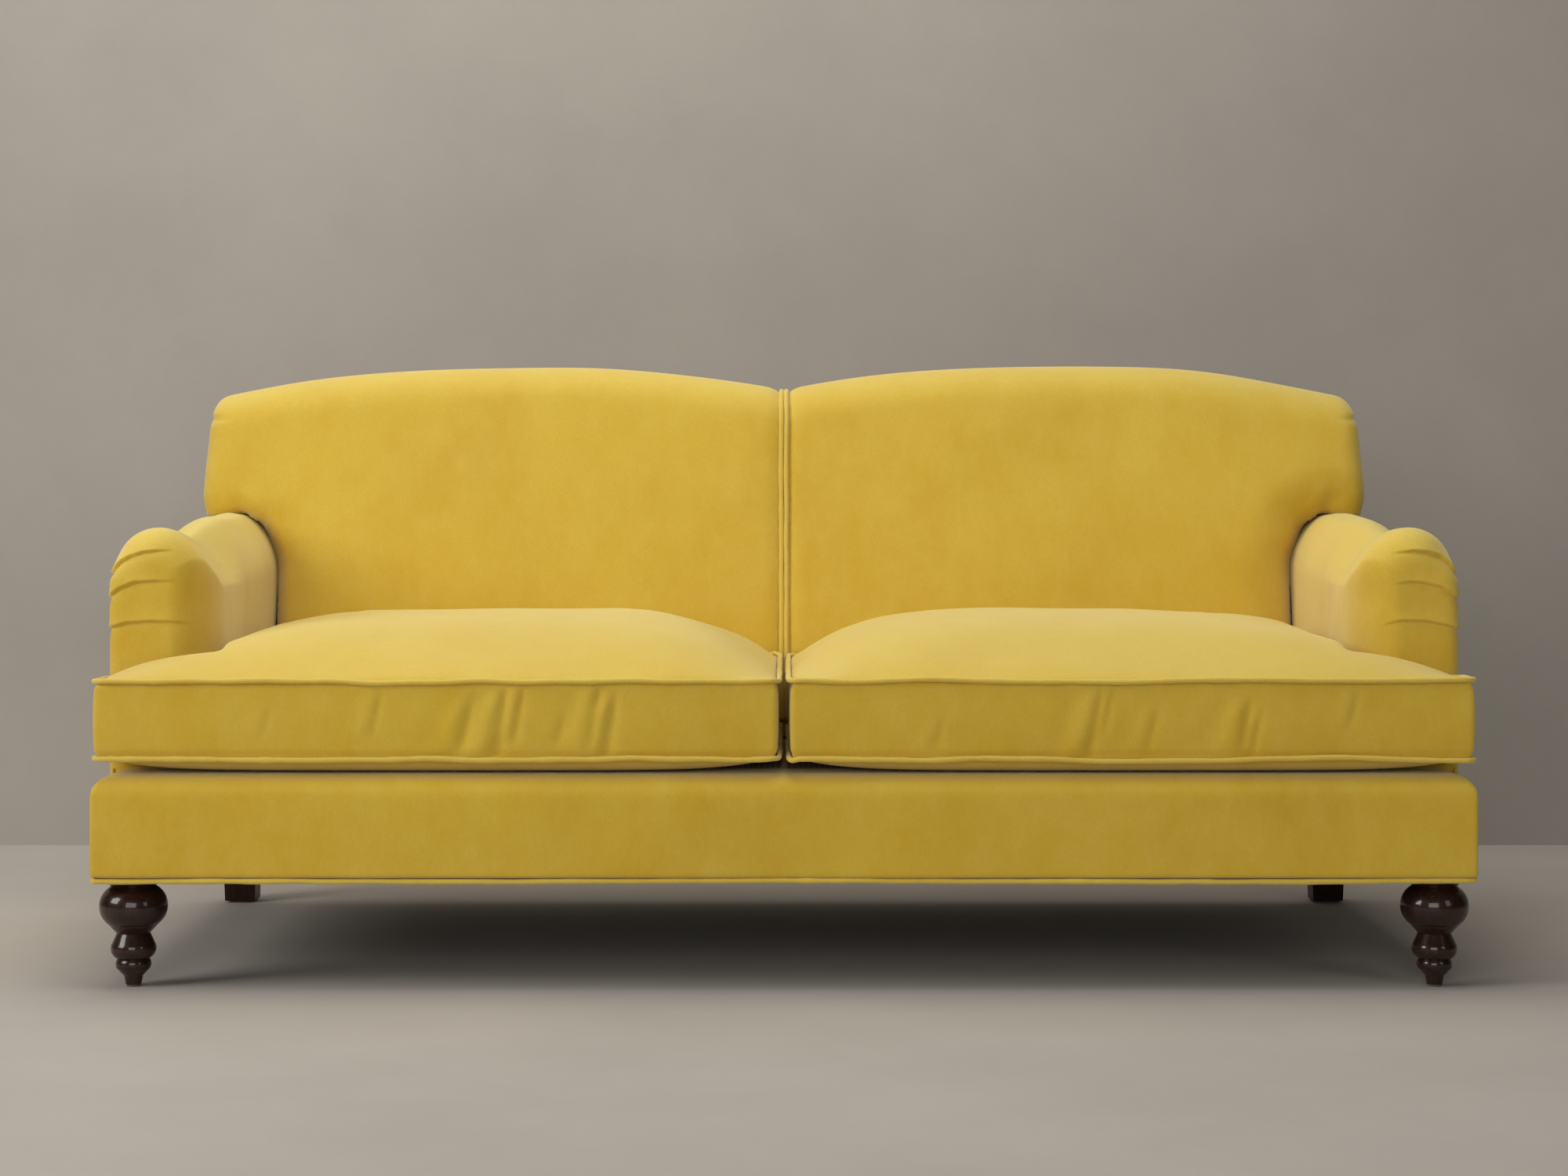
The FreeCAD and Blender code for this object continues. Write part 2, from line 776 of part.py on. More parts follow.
def arm_pads():
    arm_length = "base_rear + back_overhang - arm_front"
    foot_of_section = "rail_top - arm_rise - base_height"
    body = new_body("arm")
    section = [
        ("-arm_in", foot_of_section),
        ("-arm_in", "inner_z", "inner_radius", 1),
        ("-shoulder_x", "shoulder_z", "roll_radius", 1),
        ("-half_width", "roll_z"),
        ("-half_width", foot_of_section),
    ]
    tilted_pad(body, draw(body, "XZ", section, "-arm_front"), arm_length)
    front = size("arm_front")
    bottom = number(foot_of_section)
    soften(
        body,
        lambda edge: on_plane(edge, lambda point: point.y - front)
        and not on_plane(edge, lambda point: point.z - bottom),
        "nose_round",
    )
    panel = prism("YZ", outside_arm_outline(), "-half_width", "side_pad")
    beyond = f"arm_in - {SPARE}"
    outside = f"half_width + {SPARE}"
    below = box(
        (f"-({outside})", f"arm_front - {SPARE}", f"{foot_of_section} - {SPARE}"),
        (f"-({beyond})", f"base_rear + back_overhang + {SPARE}", "rail_top"),
    )
    hollow = box(
        ("-rail_out", "panel_front", f"rail_top - {SPARE}"),
        ("-frame_in", f"base_rear + back_overhang + {SPARE}", "arm_rail_top"),
    )
    above = f"(arm_top + arm_rise + {SPARE})"
    past = f"base_rear + back_overhang + 2 * {SPARE}"
    behind = prism(
        "YZ",
        [
            (post_at("rail_top"), "rail_top"), (past, "rail_top"), (past, above), (panel_at(above), above),
            (panel_at("arm_rail_top"), "arm_rail_top"), (post_at("arm_rail_top"), "arm_rail_top"),
        ],
        f"-({outside})", f"({outside}) - ({beyond})",
    )
    post_room = prism(
        "YZ",
        leaning("arm_rail_top", above, post_at, lambda height: f"({panel_at(height)} + {SPARE})"),
        "-post_out", "post_out - frame_in",
    )
    keep_pair(panel, "outside_arm")
    keep_pair(cut(body, below, panel, hollow, behind, post_room), "arm_pad")


def arm_clearance():
    """The space that the arm takes up under the ear of the back."""
    body = new_body("arm_clearance")
    low = f"deck_z - arm_rise - {SPARE}"
    outside = f"half_width + ear_flare + {SPARE}"
    section = [
        ("-arm_in + back_arm_gap", low),
        ("-arm_in + back_arm_gap", "inner_z", "inner_radius + back_arm_gap", 1),
        ("-shoulder_x + back_arm_gap * roll_cos", "shoulder_z + back_arm_gap * roll_sin",
         "roll_radius + back_arm_gap", 1),
        ("-half_width + roll_radius", "arm_top + back_arm_gap"),
        (f"-({outside})", "arm_top + back_arm_gap"),
        (f"-({outside})", low),
    ]
    tilted_pad(body, draw(body, "XZ", section, "-arm_front"), "full_depth")
    return body


def rounded_corner(before, corner, after, radius):
    """Start, middle and end of the arc that rounds a corner between two headings."""
    back_off = radius * ((1 - before.dot(after)) / (1 + before.dot(after))) ** 0.5
    inward = (after - before).normalize()
    middle = corner + inward * ((back_off ** 2 + radius ** 2) ** 0.5 - radius)
    return corner - before * back_off, middle, corner + after * back_off


def welt_over_back(side, diameter):
    """One cord of the double welt, from the deck up the face, over the top and down the rear."""
    rising = Vector(0, size("face_slope"), 1).normalize()
    level = Vector(0, 1, 0)
    falling = Vector(0, -size("rear_slope"), -1).normalize()
    valley = size("valley_z")
    front_corner = Vector(0, number(face_at("valley_z")), valley)
    rear_corner = Vector(0, number(rear_at("valley_z")), valley)
    front = rounded_corner(rising, front_corner, level, size("front_roll"))
    rear = rounded_corner(level, rear_corner, falling, size("rear_roll"))
    bottom = Vector(0, number(face_at("welt_low")), size("welt_low"))
    finish = Vector(0, number(rear_at("welt_finish")), size("welt_finish"))
    edges = [
        Part.LineSegment(bottom, front[0]).toShape(),
        Part.Arc(*front).toShape(),
        Part.LineSegment(front[2], rear[0]).toShape(),
        Part.Arc(*rear).toShape(),
        Part.LineSegment(rear[2], finish).toShape(),
    ]
    made = shaped(tube(edges, diameter))
    made.Placement = FreeCAD.Placement(Vector(side * size("back_welt_pitch") / 2, 0, 0), FreeCAD.Rotation())
    return made


def back_half():
    body = new_body("back_half")
    outline = [
        ("0", "deck_z"),
        ("0", "valley_z", "crown_inner", 1),
        ("-crown_half", "top_z", "crown_outer", 1),
        ("-ear_x", "ear_z"),
        ("-(half_width + ear_flare)", "deck_z"),
    ]
    above = f"(top_z + {SPARE})"
    pad(body, draw(body, "XZ", outline, "-face_y"), f"{rear_at(above)} - face_y", True)
    wedges = [
        [("face_y", "deck_z"), (face_at(above), above), ("face_y", above)],
        [(rear_at("deck_z"), "deck_z"), (rear_at(above), above), (rear_at(above), "deck_z")],
    ]
    for wedge in wedges:
        doc.recompute()
        whole = body.Tip.Shape.Volume
        made = body.newObject("PartDesign::Pocket", "wedge")
        made.Profile = draw(body, "YZ", wedge)
        made.Type = "ThroughAll"
        doc.recompute()
        if not body.Tip.Shape.Volume < whole:
            raise RuntimeError("the rake of the back cut nothing")
    shoulder = size("ear_z")
    face = (size("face_y"), size("face_slope"))
    rear = (size("base_rear"), size("rear_slope"))

    def on_top(edge, line, foot):
        leans = on_plane(edge, lambda point: point.y - line[0] - line[1] * (point.z - foot))
        return leans and spots(edge)[1].z > shoulder

    soften(body, lambda edge: on_top(edge, face, size("deck_z")), "front_roll")
    soften(body, lambda edge: on_top(edge, rear, size("rail_top")), "rear_roll")
    slant = (size("half_width") + size("ear_flare") - size("ear_x")) / (size("ear_z") - size("deck_z"))
    deck = size("deck_z")
    outer = -size("half_width") - size("ear_flare")
    soften(
        body,
        lambda edge: on_plane(edge, lambda point: point.x - outer - slant * (point.z - deck))
        and not on_plane(edge, lambda point: point.z - deck),
        "side_roll",
    )
    return body


def back_hollow():
    """The space inside the back for its frame and springs, and for the outside back panel."""
    past = f"(base_rear + 2 * back_overhang + {SPARE})"
    low = f"(rail_top - {SPARE})"
    inner = prism("YZ", leaning(low, "crest_bottom", cavity_at), "-post_out", f"post_out + {SPARE}")
    crest = prism(
        "YZ", leaning("crest_bottom", "crest_top", cavity_at), "-frame_out", f"frame_out + {SPARE}"
    )
    panel = [
        (panel_at(low), low),
        (past, low),
        (past, "back_panel_top"),
        (panel_at("back_panel_top"), "back_panel_top"),
    ]
    ear_side = f"half_width + ear_flare + {SPARE}"
    outer = prism("YZ", panel, f"-({ear_side})", f"{ear_side} + {SPARE}")
    return inner, crest, outer


def backs():
    grooves = [welt_over_back(side, number("back_welt_diameter + 2 * welt_clearance")) for side in (-1, 1)]
    half = cut(back_half(), arm_clearance(), *back_hollow(), *grooves)
    keep_pair(half, "inside_back")
    keep(group(*[welt_over_back(side, size("back_welt_diameter")) for side in (-1, 1)]), "back_double_welt")
    outline = [
        ("rail_rear", "wall_bottom"),
        ("base_rear", "wall_bottom"),
        ("base_rear", "rail_top"),
        (rear_at("back_panel_top"), "back_panel_top"),
        (panel_at("back_panel_top"), "back_panel_top"),
        ("rail_rear", "rail_top"),
    ]
    side_at_top = "(half_width - ear_taper * (back_panel_top - ear_low) / (ear_z - ear_low))"
    sides = [
        ("-half_width", "wall_bottom"), ("half_width", "wall_bottom"), ("half_width", "ear_low"),
        (side_at_top, "back_panel_top"), (f"-{side_at_top}", "back_panel_top"), ("-half_width", "ear_low"),
    ]
    panel = prism("YZ", outline, "-half_width", "2 * half_width")
    trimmed = prism("XZ", sides, f"rail_rear - {SPARE}", f"back_overhang + side_pad + 2 * {SPARE}")
    keep(common(panel, trimmed), "outside_back")


def base_welt():
    diameter = size("base_welt_diameter")
    side = size("half_width") - diameter / 2
    front = size("front_y") + diameter / 2
    rear = size("base_rear") - diameter / 2
    corners = [Vector(-side, front, 0), Vector(side, front, 0), Vector(side, rear, 0), Vector(-side, rear, 0)]
    loop = rounded_loop(corners, size("side_pad") - diameter / 2, size("foot_height") + diameter / 2)
    keep(shaped(tube(loop, diameter)), "base_welt")


# Loose seat cushions
def cushion_rear(height):
    return f"({face_at(height)} - cushion_rear_gap)"


def crown_surface(lower):
    """The crowned top of the left cushion, drawn by a formula over its whole plan."""
    left, right = -size("cushion_ear"), -size("cushion_mid")
    front, rear = size("cushion_front"), number(cushion_rear("cushion_top"))
    peak = size("crown_peak")
    rows = []
    for row in range(CROWN_ROWS):
        depth = row / (CROWN_ROWS - 1)
        rise = 1 - abs((depth - peak) / peak) ** size("crown_depth_power")
        points = []
        for column in range(CROWN_COLUMNS):
            across = column / (CROWN_COLUMNS - 1)
            swell_here = rise * (1 - abs(2 * across - 1) ** size("crown_side_power"))
            height = size("crown_z") + size("crown_height") * swell_here - lower
            points.append(Vector(left + across * (right - left), front + depth * (rear - front), height))
        rows.append(points)
    surface = Part.BSplineSurface()
    surface.interpolate(rows)
    drop = size("cushion_top") - size("deck_z") + SPARE
    return shaped(surface.toShape().extrude(Vector(0, 0, -drop)))


def cushion_block(inset):
    """The T-shaped plan of the left cushion with its leaning rear, drawn in by the given amount."""
    plan = [
        (f"-cushion_ear + {inset}", f"cushion_front + {inset}"),
        (f"-cushion_mid - {inset}", f"cushion_front + {inset}"),
        (f"-cushion_mid - {inset}", f"{cushion_rear('cushion_top')} + {SPARE}"),
        (f"-cushion_side + {inset}", f"{cushion_rear('cushion_top')} + {SPARE}"),
        (f"-cushion_side + {inset}", f"ear_rear - {inset}"),
        (f"-cushion_ear + {inset}", f"ear_rear - {inset}"),
    ]
    low = f"(cushion_z + {inset})"
    high = f"(cushion_top + {SPARE})"
    block = prism("XY", plan, low, f"{high} - {low}")
    ahead = f"cushion_front - {SPARE}"
    profile = [
        (ahead, low),
        (f"{cushion_rear(low)} - {inset}", low),
        (f"{cushion_rear(high)} - {inset}", high),
        (ahead, high),
    ]
    lean = prism("YZ", profile, f"-cushion_ear - {SPARE}", f"cushion_ear + 2 * {SPARE}")
    return block, lean


def welt_loop(height):
    diameter = size("cushion_welt_diameter")
    out = diameter / 2 + size("welt_clearance")
    front = size("cushion_front") - out
    rear = number(cushion_rear(height)) + out * (1 + size("face_slope") ** 2) ** 0.5
    ear_rear = size("ear_rear") + out
    middle, side, ear = -size("cushion_mid") + out, -size("cushion_side") - out, -size("cushion_ear") - out
    corners = [
        Vector(ear, front, 0), Vector(middle, front, 0), Vector(middle, rear, 0),
        Vector(side, rear, 0), Vector(side, ear_rear, 0), Vector(ear, ear_rear, 0),
    ]
    return shaped(tube(rounded_loop(corners, out, size(height)), diameter))


def zip_parts():
    low, high = "(zip_middle - zip_width / 2)", "(zip_middle + zip_width / 2)"

    def standing(start, end, near, far):
        return leaning(
            start, end,
            lambda height: f"({cushion_rear(height)} + {near})",
            lambda height: f"({cushion_rear(height)} + {far})",
        )

    tape = prism("YZ", standing(low, high, "0", "zip_thickness"), "-zip_start - zip_length", "zip_length")
    top, bottom = "(zip_middle + slider_width / 2)", "(zip_middle - slider_width / 2)"
    slider = prism(
        "YZ", standing(bottom, top, "zip_thickness", "zip_thickness + slider_thickness"),
        "-zip_start - slider_length", "slider_length",
    )
    hang = "(zip_middle - slider_width / 2 - tab_length)"
    tab = prism(
        "YZ", standing(hang, bottom, "zip_thickness", "zip_thickness + tab_thickness"),
        "-zip_start - (slider_length + tab_width) / 2", "tab_width",
    )
    fused = doc.addObject("Part::Fuse", "fuse")
    fused.Base = slider
    fused.Tool = tab
    return tape, fused


def cushions():
    outer = common(*cushion_block("0"), crown_surface(0))
    core = common(*cushion_block("cover_thickness"), crown_surface(size("cover_thickness")))
    keep_pair(cut(outer, core), "cushion_cover")
    keep_pair(core, "cushion_core")
    keep_pair(welt_loop("crown_z"), "cushion_top_welt")
    keep_pair(welt_loop("boxing_z"), "cushion_bottom_welt")
    tape, slider = zip_parts()
    keep_pair(tape, "zip_tape")
    keep_pair(slider, "zip_slider")


def write_parts():
    doc.recompute()
    for thing in doc.Objects:
        if "Invalid" in thing.State or "Error" in thing.State:
            raise RuntimeError(f"{thing.Name} ({thing.Label}) failed: {thing.State}")
    for thing in finished:
        if thing.Shape.isNull() or not thing.Shape.isValid() or not thing.Shape.Solids:
            raise RuntimeError(f"{thing.Label} has no sound shape")
    os.makedirs("parts", exist_ok=True)
    for thing in finished:
        thing.Shape.exportStep(f"parts/{thing.Label}.step")


fill_sheets()
feet()
seat_frame()
arm_frame()
back_frame()
seat_springs()
back_springs()
front_border()
seat_deck()
arm_pads()
backs()
base_welt()
cushions()
write_parts()
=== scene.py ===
import math

import bmesh
import bpy
import numpy as np
from bpy.props import FloatProperty, FloatVectorProperty, IntProperty, PointerProperty
from bpy.types import Operator, Panel, PropertyGroup
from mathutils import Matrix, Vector
from mathutils.bvhtree import BVHTree


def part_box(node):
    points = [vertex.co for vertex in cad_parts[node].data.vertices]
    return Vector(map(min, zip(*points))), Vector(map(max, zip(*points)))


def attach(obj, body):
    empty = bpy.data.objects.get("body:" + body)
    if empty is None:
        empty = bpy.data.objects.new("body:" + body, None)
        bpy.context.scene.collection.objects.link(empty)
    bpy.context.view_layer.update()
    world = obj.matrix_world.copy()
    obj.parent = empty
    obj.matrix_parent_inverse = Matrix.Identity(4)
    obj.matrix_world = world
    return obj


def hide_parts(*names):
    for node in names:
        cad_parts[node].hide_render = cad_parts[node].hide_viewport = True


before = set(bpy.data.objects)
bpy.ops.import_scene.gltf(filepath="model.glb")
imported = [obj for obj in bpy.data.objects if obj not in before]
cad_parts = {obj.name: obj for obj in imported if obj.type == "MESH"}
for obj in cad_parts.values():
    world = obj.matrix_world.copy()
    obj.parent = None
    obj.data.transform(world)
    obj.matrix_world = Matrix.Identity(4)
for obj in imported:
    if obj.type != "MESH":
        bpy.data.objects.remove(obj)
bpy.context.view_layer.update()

bl_info = {
    "name": "Roll Arm Sofa",
    "version": (1, 0, 0),
    "blender": (4, 5, 0),
    "location": "View3D > Sidebar > Sofa",
    "description": "Dresses a roll arm sofa in velvet over its frame of solids",
    "category": "Object",
}

SIDES = {"left": -1, "right": 1}
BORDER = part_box("front_border")
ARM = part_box("right_arm_pad")
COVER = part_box("right_cushion_cover")
TOP_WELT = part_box("right_cushion_top_welt")
LOW_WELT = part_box("right_cushion_bottom_welt")
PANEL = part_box("right_outside_arm")
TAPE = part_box("right_zip_tape")
PANEL_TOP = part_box("outside_back")[1].z

# The back leans: its face from the deck up, and its outside above a bend
FACE_SLOPE, FACE_FOOT_Y, FACE_FOOT_Z = 0.2578, 0.127, 0.284
REAR_SLOPE, REAR_FOOT_Y, REAR_BEND_Z = 0.1208, 0.420, 0.264


def face_y(height):
    """Where the raked face of the back lies at a height."""
    return FACE_FOOT_Y + FACE_SLOPE * (height - FACE_FOOT_Z)


def rear_y(height):
    """Where the outside of the back lies at a height."""
    return REAR_FOOT_Y + REAR_SLOPE * np.maximum(height - REAR_BEND_Z, 0)


def number(name, description, default, **options):
    return FloatProperty(name=name, description=description, default=default, **options)


def length(name, description, default):
    return number(name, description, default, unit="LENGTH", precision=4)


def share(name, description, default):
    return number(name, description, default, subtype="FACTOR", min=0, max=1)


def colour(name, description, default):
    return FloatVectorProperty(
        name=name, description=description, subtype="COLOR", size=3, min=0, max=1, default=default
    )


class SofaVelvet(PropertyGroup):
    """Colours and pile of the velvet."""

    deep_gold: colour("Deep gold", "Nap that lies away from the eye", (0.545, 0.325, 0.014))
    gold: colour("Gold", "The cloth's main colour", (0.645, 0.425, 0.029))
    # Pale gold also serves as painted top light: the seat, back and arm velvets mix it in on faces that
    # point up.
    pale_gold: colour("Pale gold", "Nap brushed towards the light", (0.72, 0.545, 0.100))
    sheen_gold: colour("Sheen", "Colour of the sheen on the tips of the pile", (1.0, 0.99, 0.66))
    sheen: share("Sheen amount", "How strongly the pile shines where it is seen edge-on", 0.5)
    sheen_roughness: share("Sheen spread", "How far the sheen spreads from the edges", 0.57)
    pile: length("Pile", "Height of the pile in the bump", 0.0006)


class SofaCushions(PropertyGroup):
    """Sizes of the two loose seat cushions."""

    pitch: length("Pitch", "Size of the cloth's mesh before the simulation", 0.007)
    crown: length("Crown", "Rise of the top above its welt", 0.073)
    arm_crown: length("Crown at the arm", "Rise of the top where the arm presses it down", 0.043)
    crown_peak: share("Peak", "Where the crown is highest, from the front to the rear", 0.62)
    belly: length("Belly", "Drop of the underside below its welt", 0.021)
    bulge: length("Bulge", "How far the boxing stands out between its welts", 0.002)
    corner: length("Corner", "Radius of the corners in plan", 0.010)
    pressure: number("Pressure", "Pressure of the filling", 4.0)
    frames: IntProperty(name="Frames", description="Length of the simulation", default=20, min=2)
    give: length("Give", "The most that the cloth moves in the simulation", 0.011)
    welt: length("Welt", "Diameter of the piping", 0.0072)
    pucker: length("Pucker", "Depth of the gathers on the front boxing", 0.0026)


class SofaUpholstery(PropertyGroup):
    """Shapes of the fixed upholstery."""

    voxel: length("Voxel", "Size of the even mesh of a pad", 0.005)
    arm_voxel: length("Arm voxel", "Size of the even mesh of an arm", 0.004)
    pleat_rise: length("Pleat rise", "Height of the fold above a pleat's line", 0.0034)
    pleat_dip: length("Pleat dip", "Depth of the crease below a pleat's line", 0.0042)
    arm_dip: length("Arm dip", "Dip of an arm's top behind its nose", 0.018)
    arm_fill: length("Arm fill", "How far the rear of an arm is filled at its outer edge", 0.004)
    back_crown: length("Back crown", "How far each half of the back stands out in the middle", 0.010)
    seam_roll: length("Seam roll", "How far the back falls away towards its centre seam", 0.007)
    arm_roll: length("Arm roll", "How far the back falls away towards the arms", 0.038)
    crevice: length("Crevice", "Depth of the gap between the back and an arm", 0.024)
    puff: length("Puff", "How far the outside panels stand out", 0.003)


class SofaTimber(PropertyGroup):
    """Colours of the wood."""

    espresso: colour("Espresso", "Dark stain of the feet", (0.015, 0.0056, 0.0030))
    russet: colour("Russet", "Lighter grain of the feet", (0.055, 0.018, 0.008))
    beech: colour("Beech", "The frame's wood", (0.58, 0.39, 0.22))
    beech_grain: colour("Beech grain", "Darker grain of the frame's wood", (0.42, 0.26, 0.13))


class SofaStage(PropertyGroup):
    """Floor, backdrop, lights and camera."""

    floor: colour("Floor", "Colour of the floor", (0.46, 0.428, 0.386))
    wall: colour("Backdrop", "Colour of the backdrop", (0.395, 0.362, 0.325))
    wall_y: length("Backdrop distance", "How far behind the middle the backdrop stands", 1.149)
    camera_y: length("Camera distance", "How far in front of the middle the camera stands", 4.265)
    camera_z: length("Camera height", "Height of the lens above the floor", 0.640)
    lens: number("Lens", "Focal length in millimetres", 65.93)
    shift: number("Shift", "Vertical shift of the lens", -0.0525)
    key: number("Key light", "Watts of the low light at the left", 66)
    front: number("Front light", "Watts of the soft light in front", 71)
    top: number("Top light", "Watts of the light above", 67)
    side: number("Side light", "Watts of the light at the right", 10)
    rear: number("Rear light", "Watts of the high light behind", 14)
    ambient: number("Ambient", "Strength of the light from all round", 0.01)


# Meshes

def points_of(mesh):
    flat = np.empty(len(mesh.vertices) * 3)
    mesh.vertices.foreach_get("co", flat)
    return flat.reshape(-1, 3)


def normals_of(mesh):
    flat = np.empty(len(mesh.vertices) * 3)
    mesh.vertices.foreach_get("normal", flat)
    return flat.reshape(-1, 3)


def move_points(mesh, points):
    """Puts a mesh's points at new places."""
    mesh.vertices.foreach_set("co", np.ascontiguousarray(points, dtype=np.float64).ravel())
    mesh.update()


def ease(value, start, end):
    """A smooth change from 0 at the start to 1 at the end."""
    share_of_way = np.clip((value - start) / (end - start), 0, 1)
    return share_of_way * share_of_way * (3 - 2 * share_of_way)


def bell(value, middle, width):
    """A smooth hump of 1 at the middle."""
    return np.exp(-(((value - middle) / width) ** 2))


def rising(value, width):
    """A rise from 0 at 0 that levels off at 1."""
    return 1 - np.exp(-value / width)


def ripple(points, wavelength, seed):
    """Smooth, seeded unevenness of about -1 to 1 at each point."""
    waves = 9
    random = np.random.default_rng(seed)
    total = np.zeros(len(points))
    for _ in range(waves):
        heading = random.normal(size=3)
        heading /= np.linalg.norm(heading)
        turn = 2 * math.pi / (wavelength * random.uniform(0.7, 1.5))
        total += np.sin(points @ heading * turn + random.uniform(0, 2 * math.pi))
    return total / (1.5 * math.sqrt(waves))


def finished_mesh(holder):
    """The mesh that an object's modifiers give; the object itself is deleted."""
    bpy.context.view_layer.update()
    shaped = holder.evaluated_get(bpy.context.evaluated_depsgraph_get())
    mesh = bpy.data.meshes.new_from_object(shaped)
    bpy.data.objects.remove(holder)
    return mesh


def holder_of(mesh):
    """An object that holds a mesh while modifiers work on it."""
    holder = bpy.data.objects.new("work", mesh)
    bpy.context.scene.collection.objects.link(holder)
    return holder


def soft_copy(node, voxel, rounds):
    """An even mesh of a node's solid with its edges softened."""
    holder = holder_of(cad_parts[node].data.copy())
    even = holder.modifiers.new("even", "REMESH")
    even.mode = "VOXEL"
    even.voxel_size = voxel
    soft = holder.modifiers.new("soft", "SMOOTH")
    soft.factor = 0.5
    soft.iterations = rounds
    return finished_mesh(holder)


def lightened(mesh, keep):
    """The same form with a share of its faces."""
    holder = holder_of(mesh)
    holder.modifiers.new("fewer", "DECIMATE").ratio = keep
    return finished_mesh(holder)


def subdivided(mesh):
    holder = holder_of(mesh)
    finer = holder.modifiers.new("finer", "SUBSURF")
    finer.levels = finer.render_levels = 1
    return finished_mesh(holder)


def new_piece(name, mesh, material, body="sofa", stands_for=()):
    mesh.materials.clear()
    mesh.materials.append(material)
    mesh.polygons.foreach_set("use_smooth", np.ones(len(mesh.polygons), dtype=bool))
    mesh.update()
    mesh.name = name
    piece = bpy.data.objects.new(name, mesh)
    bpy.context.scene.collection.objects.link(piece)
    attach(piece, body)
    if stands_for:
        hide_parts(*stands_for)
    return piece


def padded_piece(name, mesh, material, node, body="sofa"):
    """A padded piece that stands for one node."""
    piece = new_piece(name, mesh, material, body, [node])


def puffed(mesh, height):
    """Moves each point of a mesh along its normal."""
    move_points(mesh, points_of(mesh) + normals_of(mesh) * height[:, None])


def dress(node, material):
    """Gives a node that stays as it is its material."""
    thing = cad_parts[node]
    for place in thing.material_slots:
        place.material = material
    if not thing.material_slots:
        thing.data.materials.append(material)
    return thing


def ease_edges(node, width):
    """Takes the sharp edges off a node that stays as it is."""
    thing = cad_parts[node]
    thing.modifiers.new("joined faces", "WELD").merge_threshold = 0.00002
    eased = thing.modifiers.new("eased edges", "BEVEL")
    eased.width = width
    eased.segments = 3
    eased.limit_method = "ANGLE"
    eased.harden_normals = True


def even_path(path, pitch, closed):
    """The same path with points at an even distance."""
    path = np.asarray(path, dtype=float)
    if closed:
        path = np.vstack([path, path[:1]])
    runs = np.concatenate([[0], np.cumsum(np.linalg.norm(np.diff(path, axis=0), axis=1))])
    count = max(4, round(runs[-1] / pitch))
    places = np.linspace(0, runs[-1], count + 1)
    if closed:
        places = places[:-1]
    return np.column_stack([np.interp(places, runs, path[:, axis]) for axis in range(3)])


def smoothed_path(path, rounds, closed):
    for _ in range(rounds):
        before, after = np.roll(path, 1, axis=0), np.roll(path, -1, axis=0)
        eased = (before + 2 * path + after) / 4
        if not closed:
            eased[[0, -1]] = path[[0, -1]]
        path = eased
    return path


def piping(path, diameter, closed, seed, upright=(0, 0, 1), crinkle=0.07):
    """The mesh of a sewn welt along a path, a little uneven, as cloth over a cord is."""
    sides = 12
    random = np.random.default_rng(seed)
    along = np.roll(path, -1, axis=0) - np.roll(path, 1, axis=0)
    if not closed:
        along[0], along[-1] = path[1] - path[0], path[-1] - path[-2]
    along /= np.linalg.norm(along, axis=1)[:, None]
    across = np.cross(along, np.asarray(upright, dtype=float))
    across /= np.linalg.norm(across, axis=1)[:, None]
    rise = np.cross(across, along)
    coarse = random.normal(size=max(4, len(path) // 3))
    places = np.linspace(0, len(coarse), len(path), endpoint=False)
    wobble = np.interp(places, np.arange(len(coarse) + 1), np.append(coarse, coarse[0]))
    radius = diameter / 2 * (1 + crinkle * wobble)
    angles = np.linspace(0, 2 * math.pi, sides, endpoint=False)
    rings = (
        path[:, None, :]
        + across[:, None, :] * (np.cos(angles)[None, :] * radius[:, None])[:, :, None]
        + rise[:, None, :] * (np.sin(angles)[None, :] * radius[:, None])[:, :, None]
    )
    faces = []
    last = len(path) if closed else len(path) - 1
    for ring in range(last):
        here, there = ring * sides, (ring + 1) % len(path) * sides
        for side in range(sides):
            after = (side + 1) % sides
            faces.append((here + side, here + after, there + after, there + side))
    if not closed:
        faces.append(tuple(range(sides))[::-1])
        faces.append(tuple(range((len(path) - 1) * sides, len(path) * sides)))
    mesh = bpy.data.meshes.new("welt")
    mesh.from_pydata(rings.reshape(-1, 3).tolist(), [], faces)
    return outward(mesh)


def outward(mesh):
    """Turns every face of a closed mesh outwards."""
    work = bmesh.new()
    work.from_mesh(mesh)
    bmesh.ops.recalc_face_normals(work, faces=work.faces)
    work.to_mesh(mesh)
    work.free()
    mesh.update()
    return mesh


# Materials

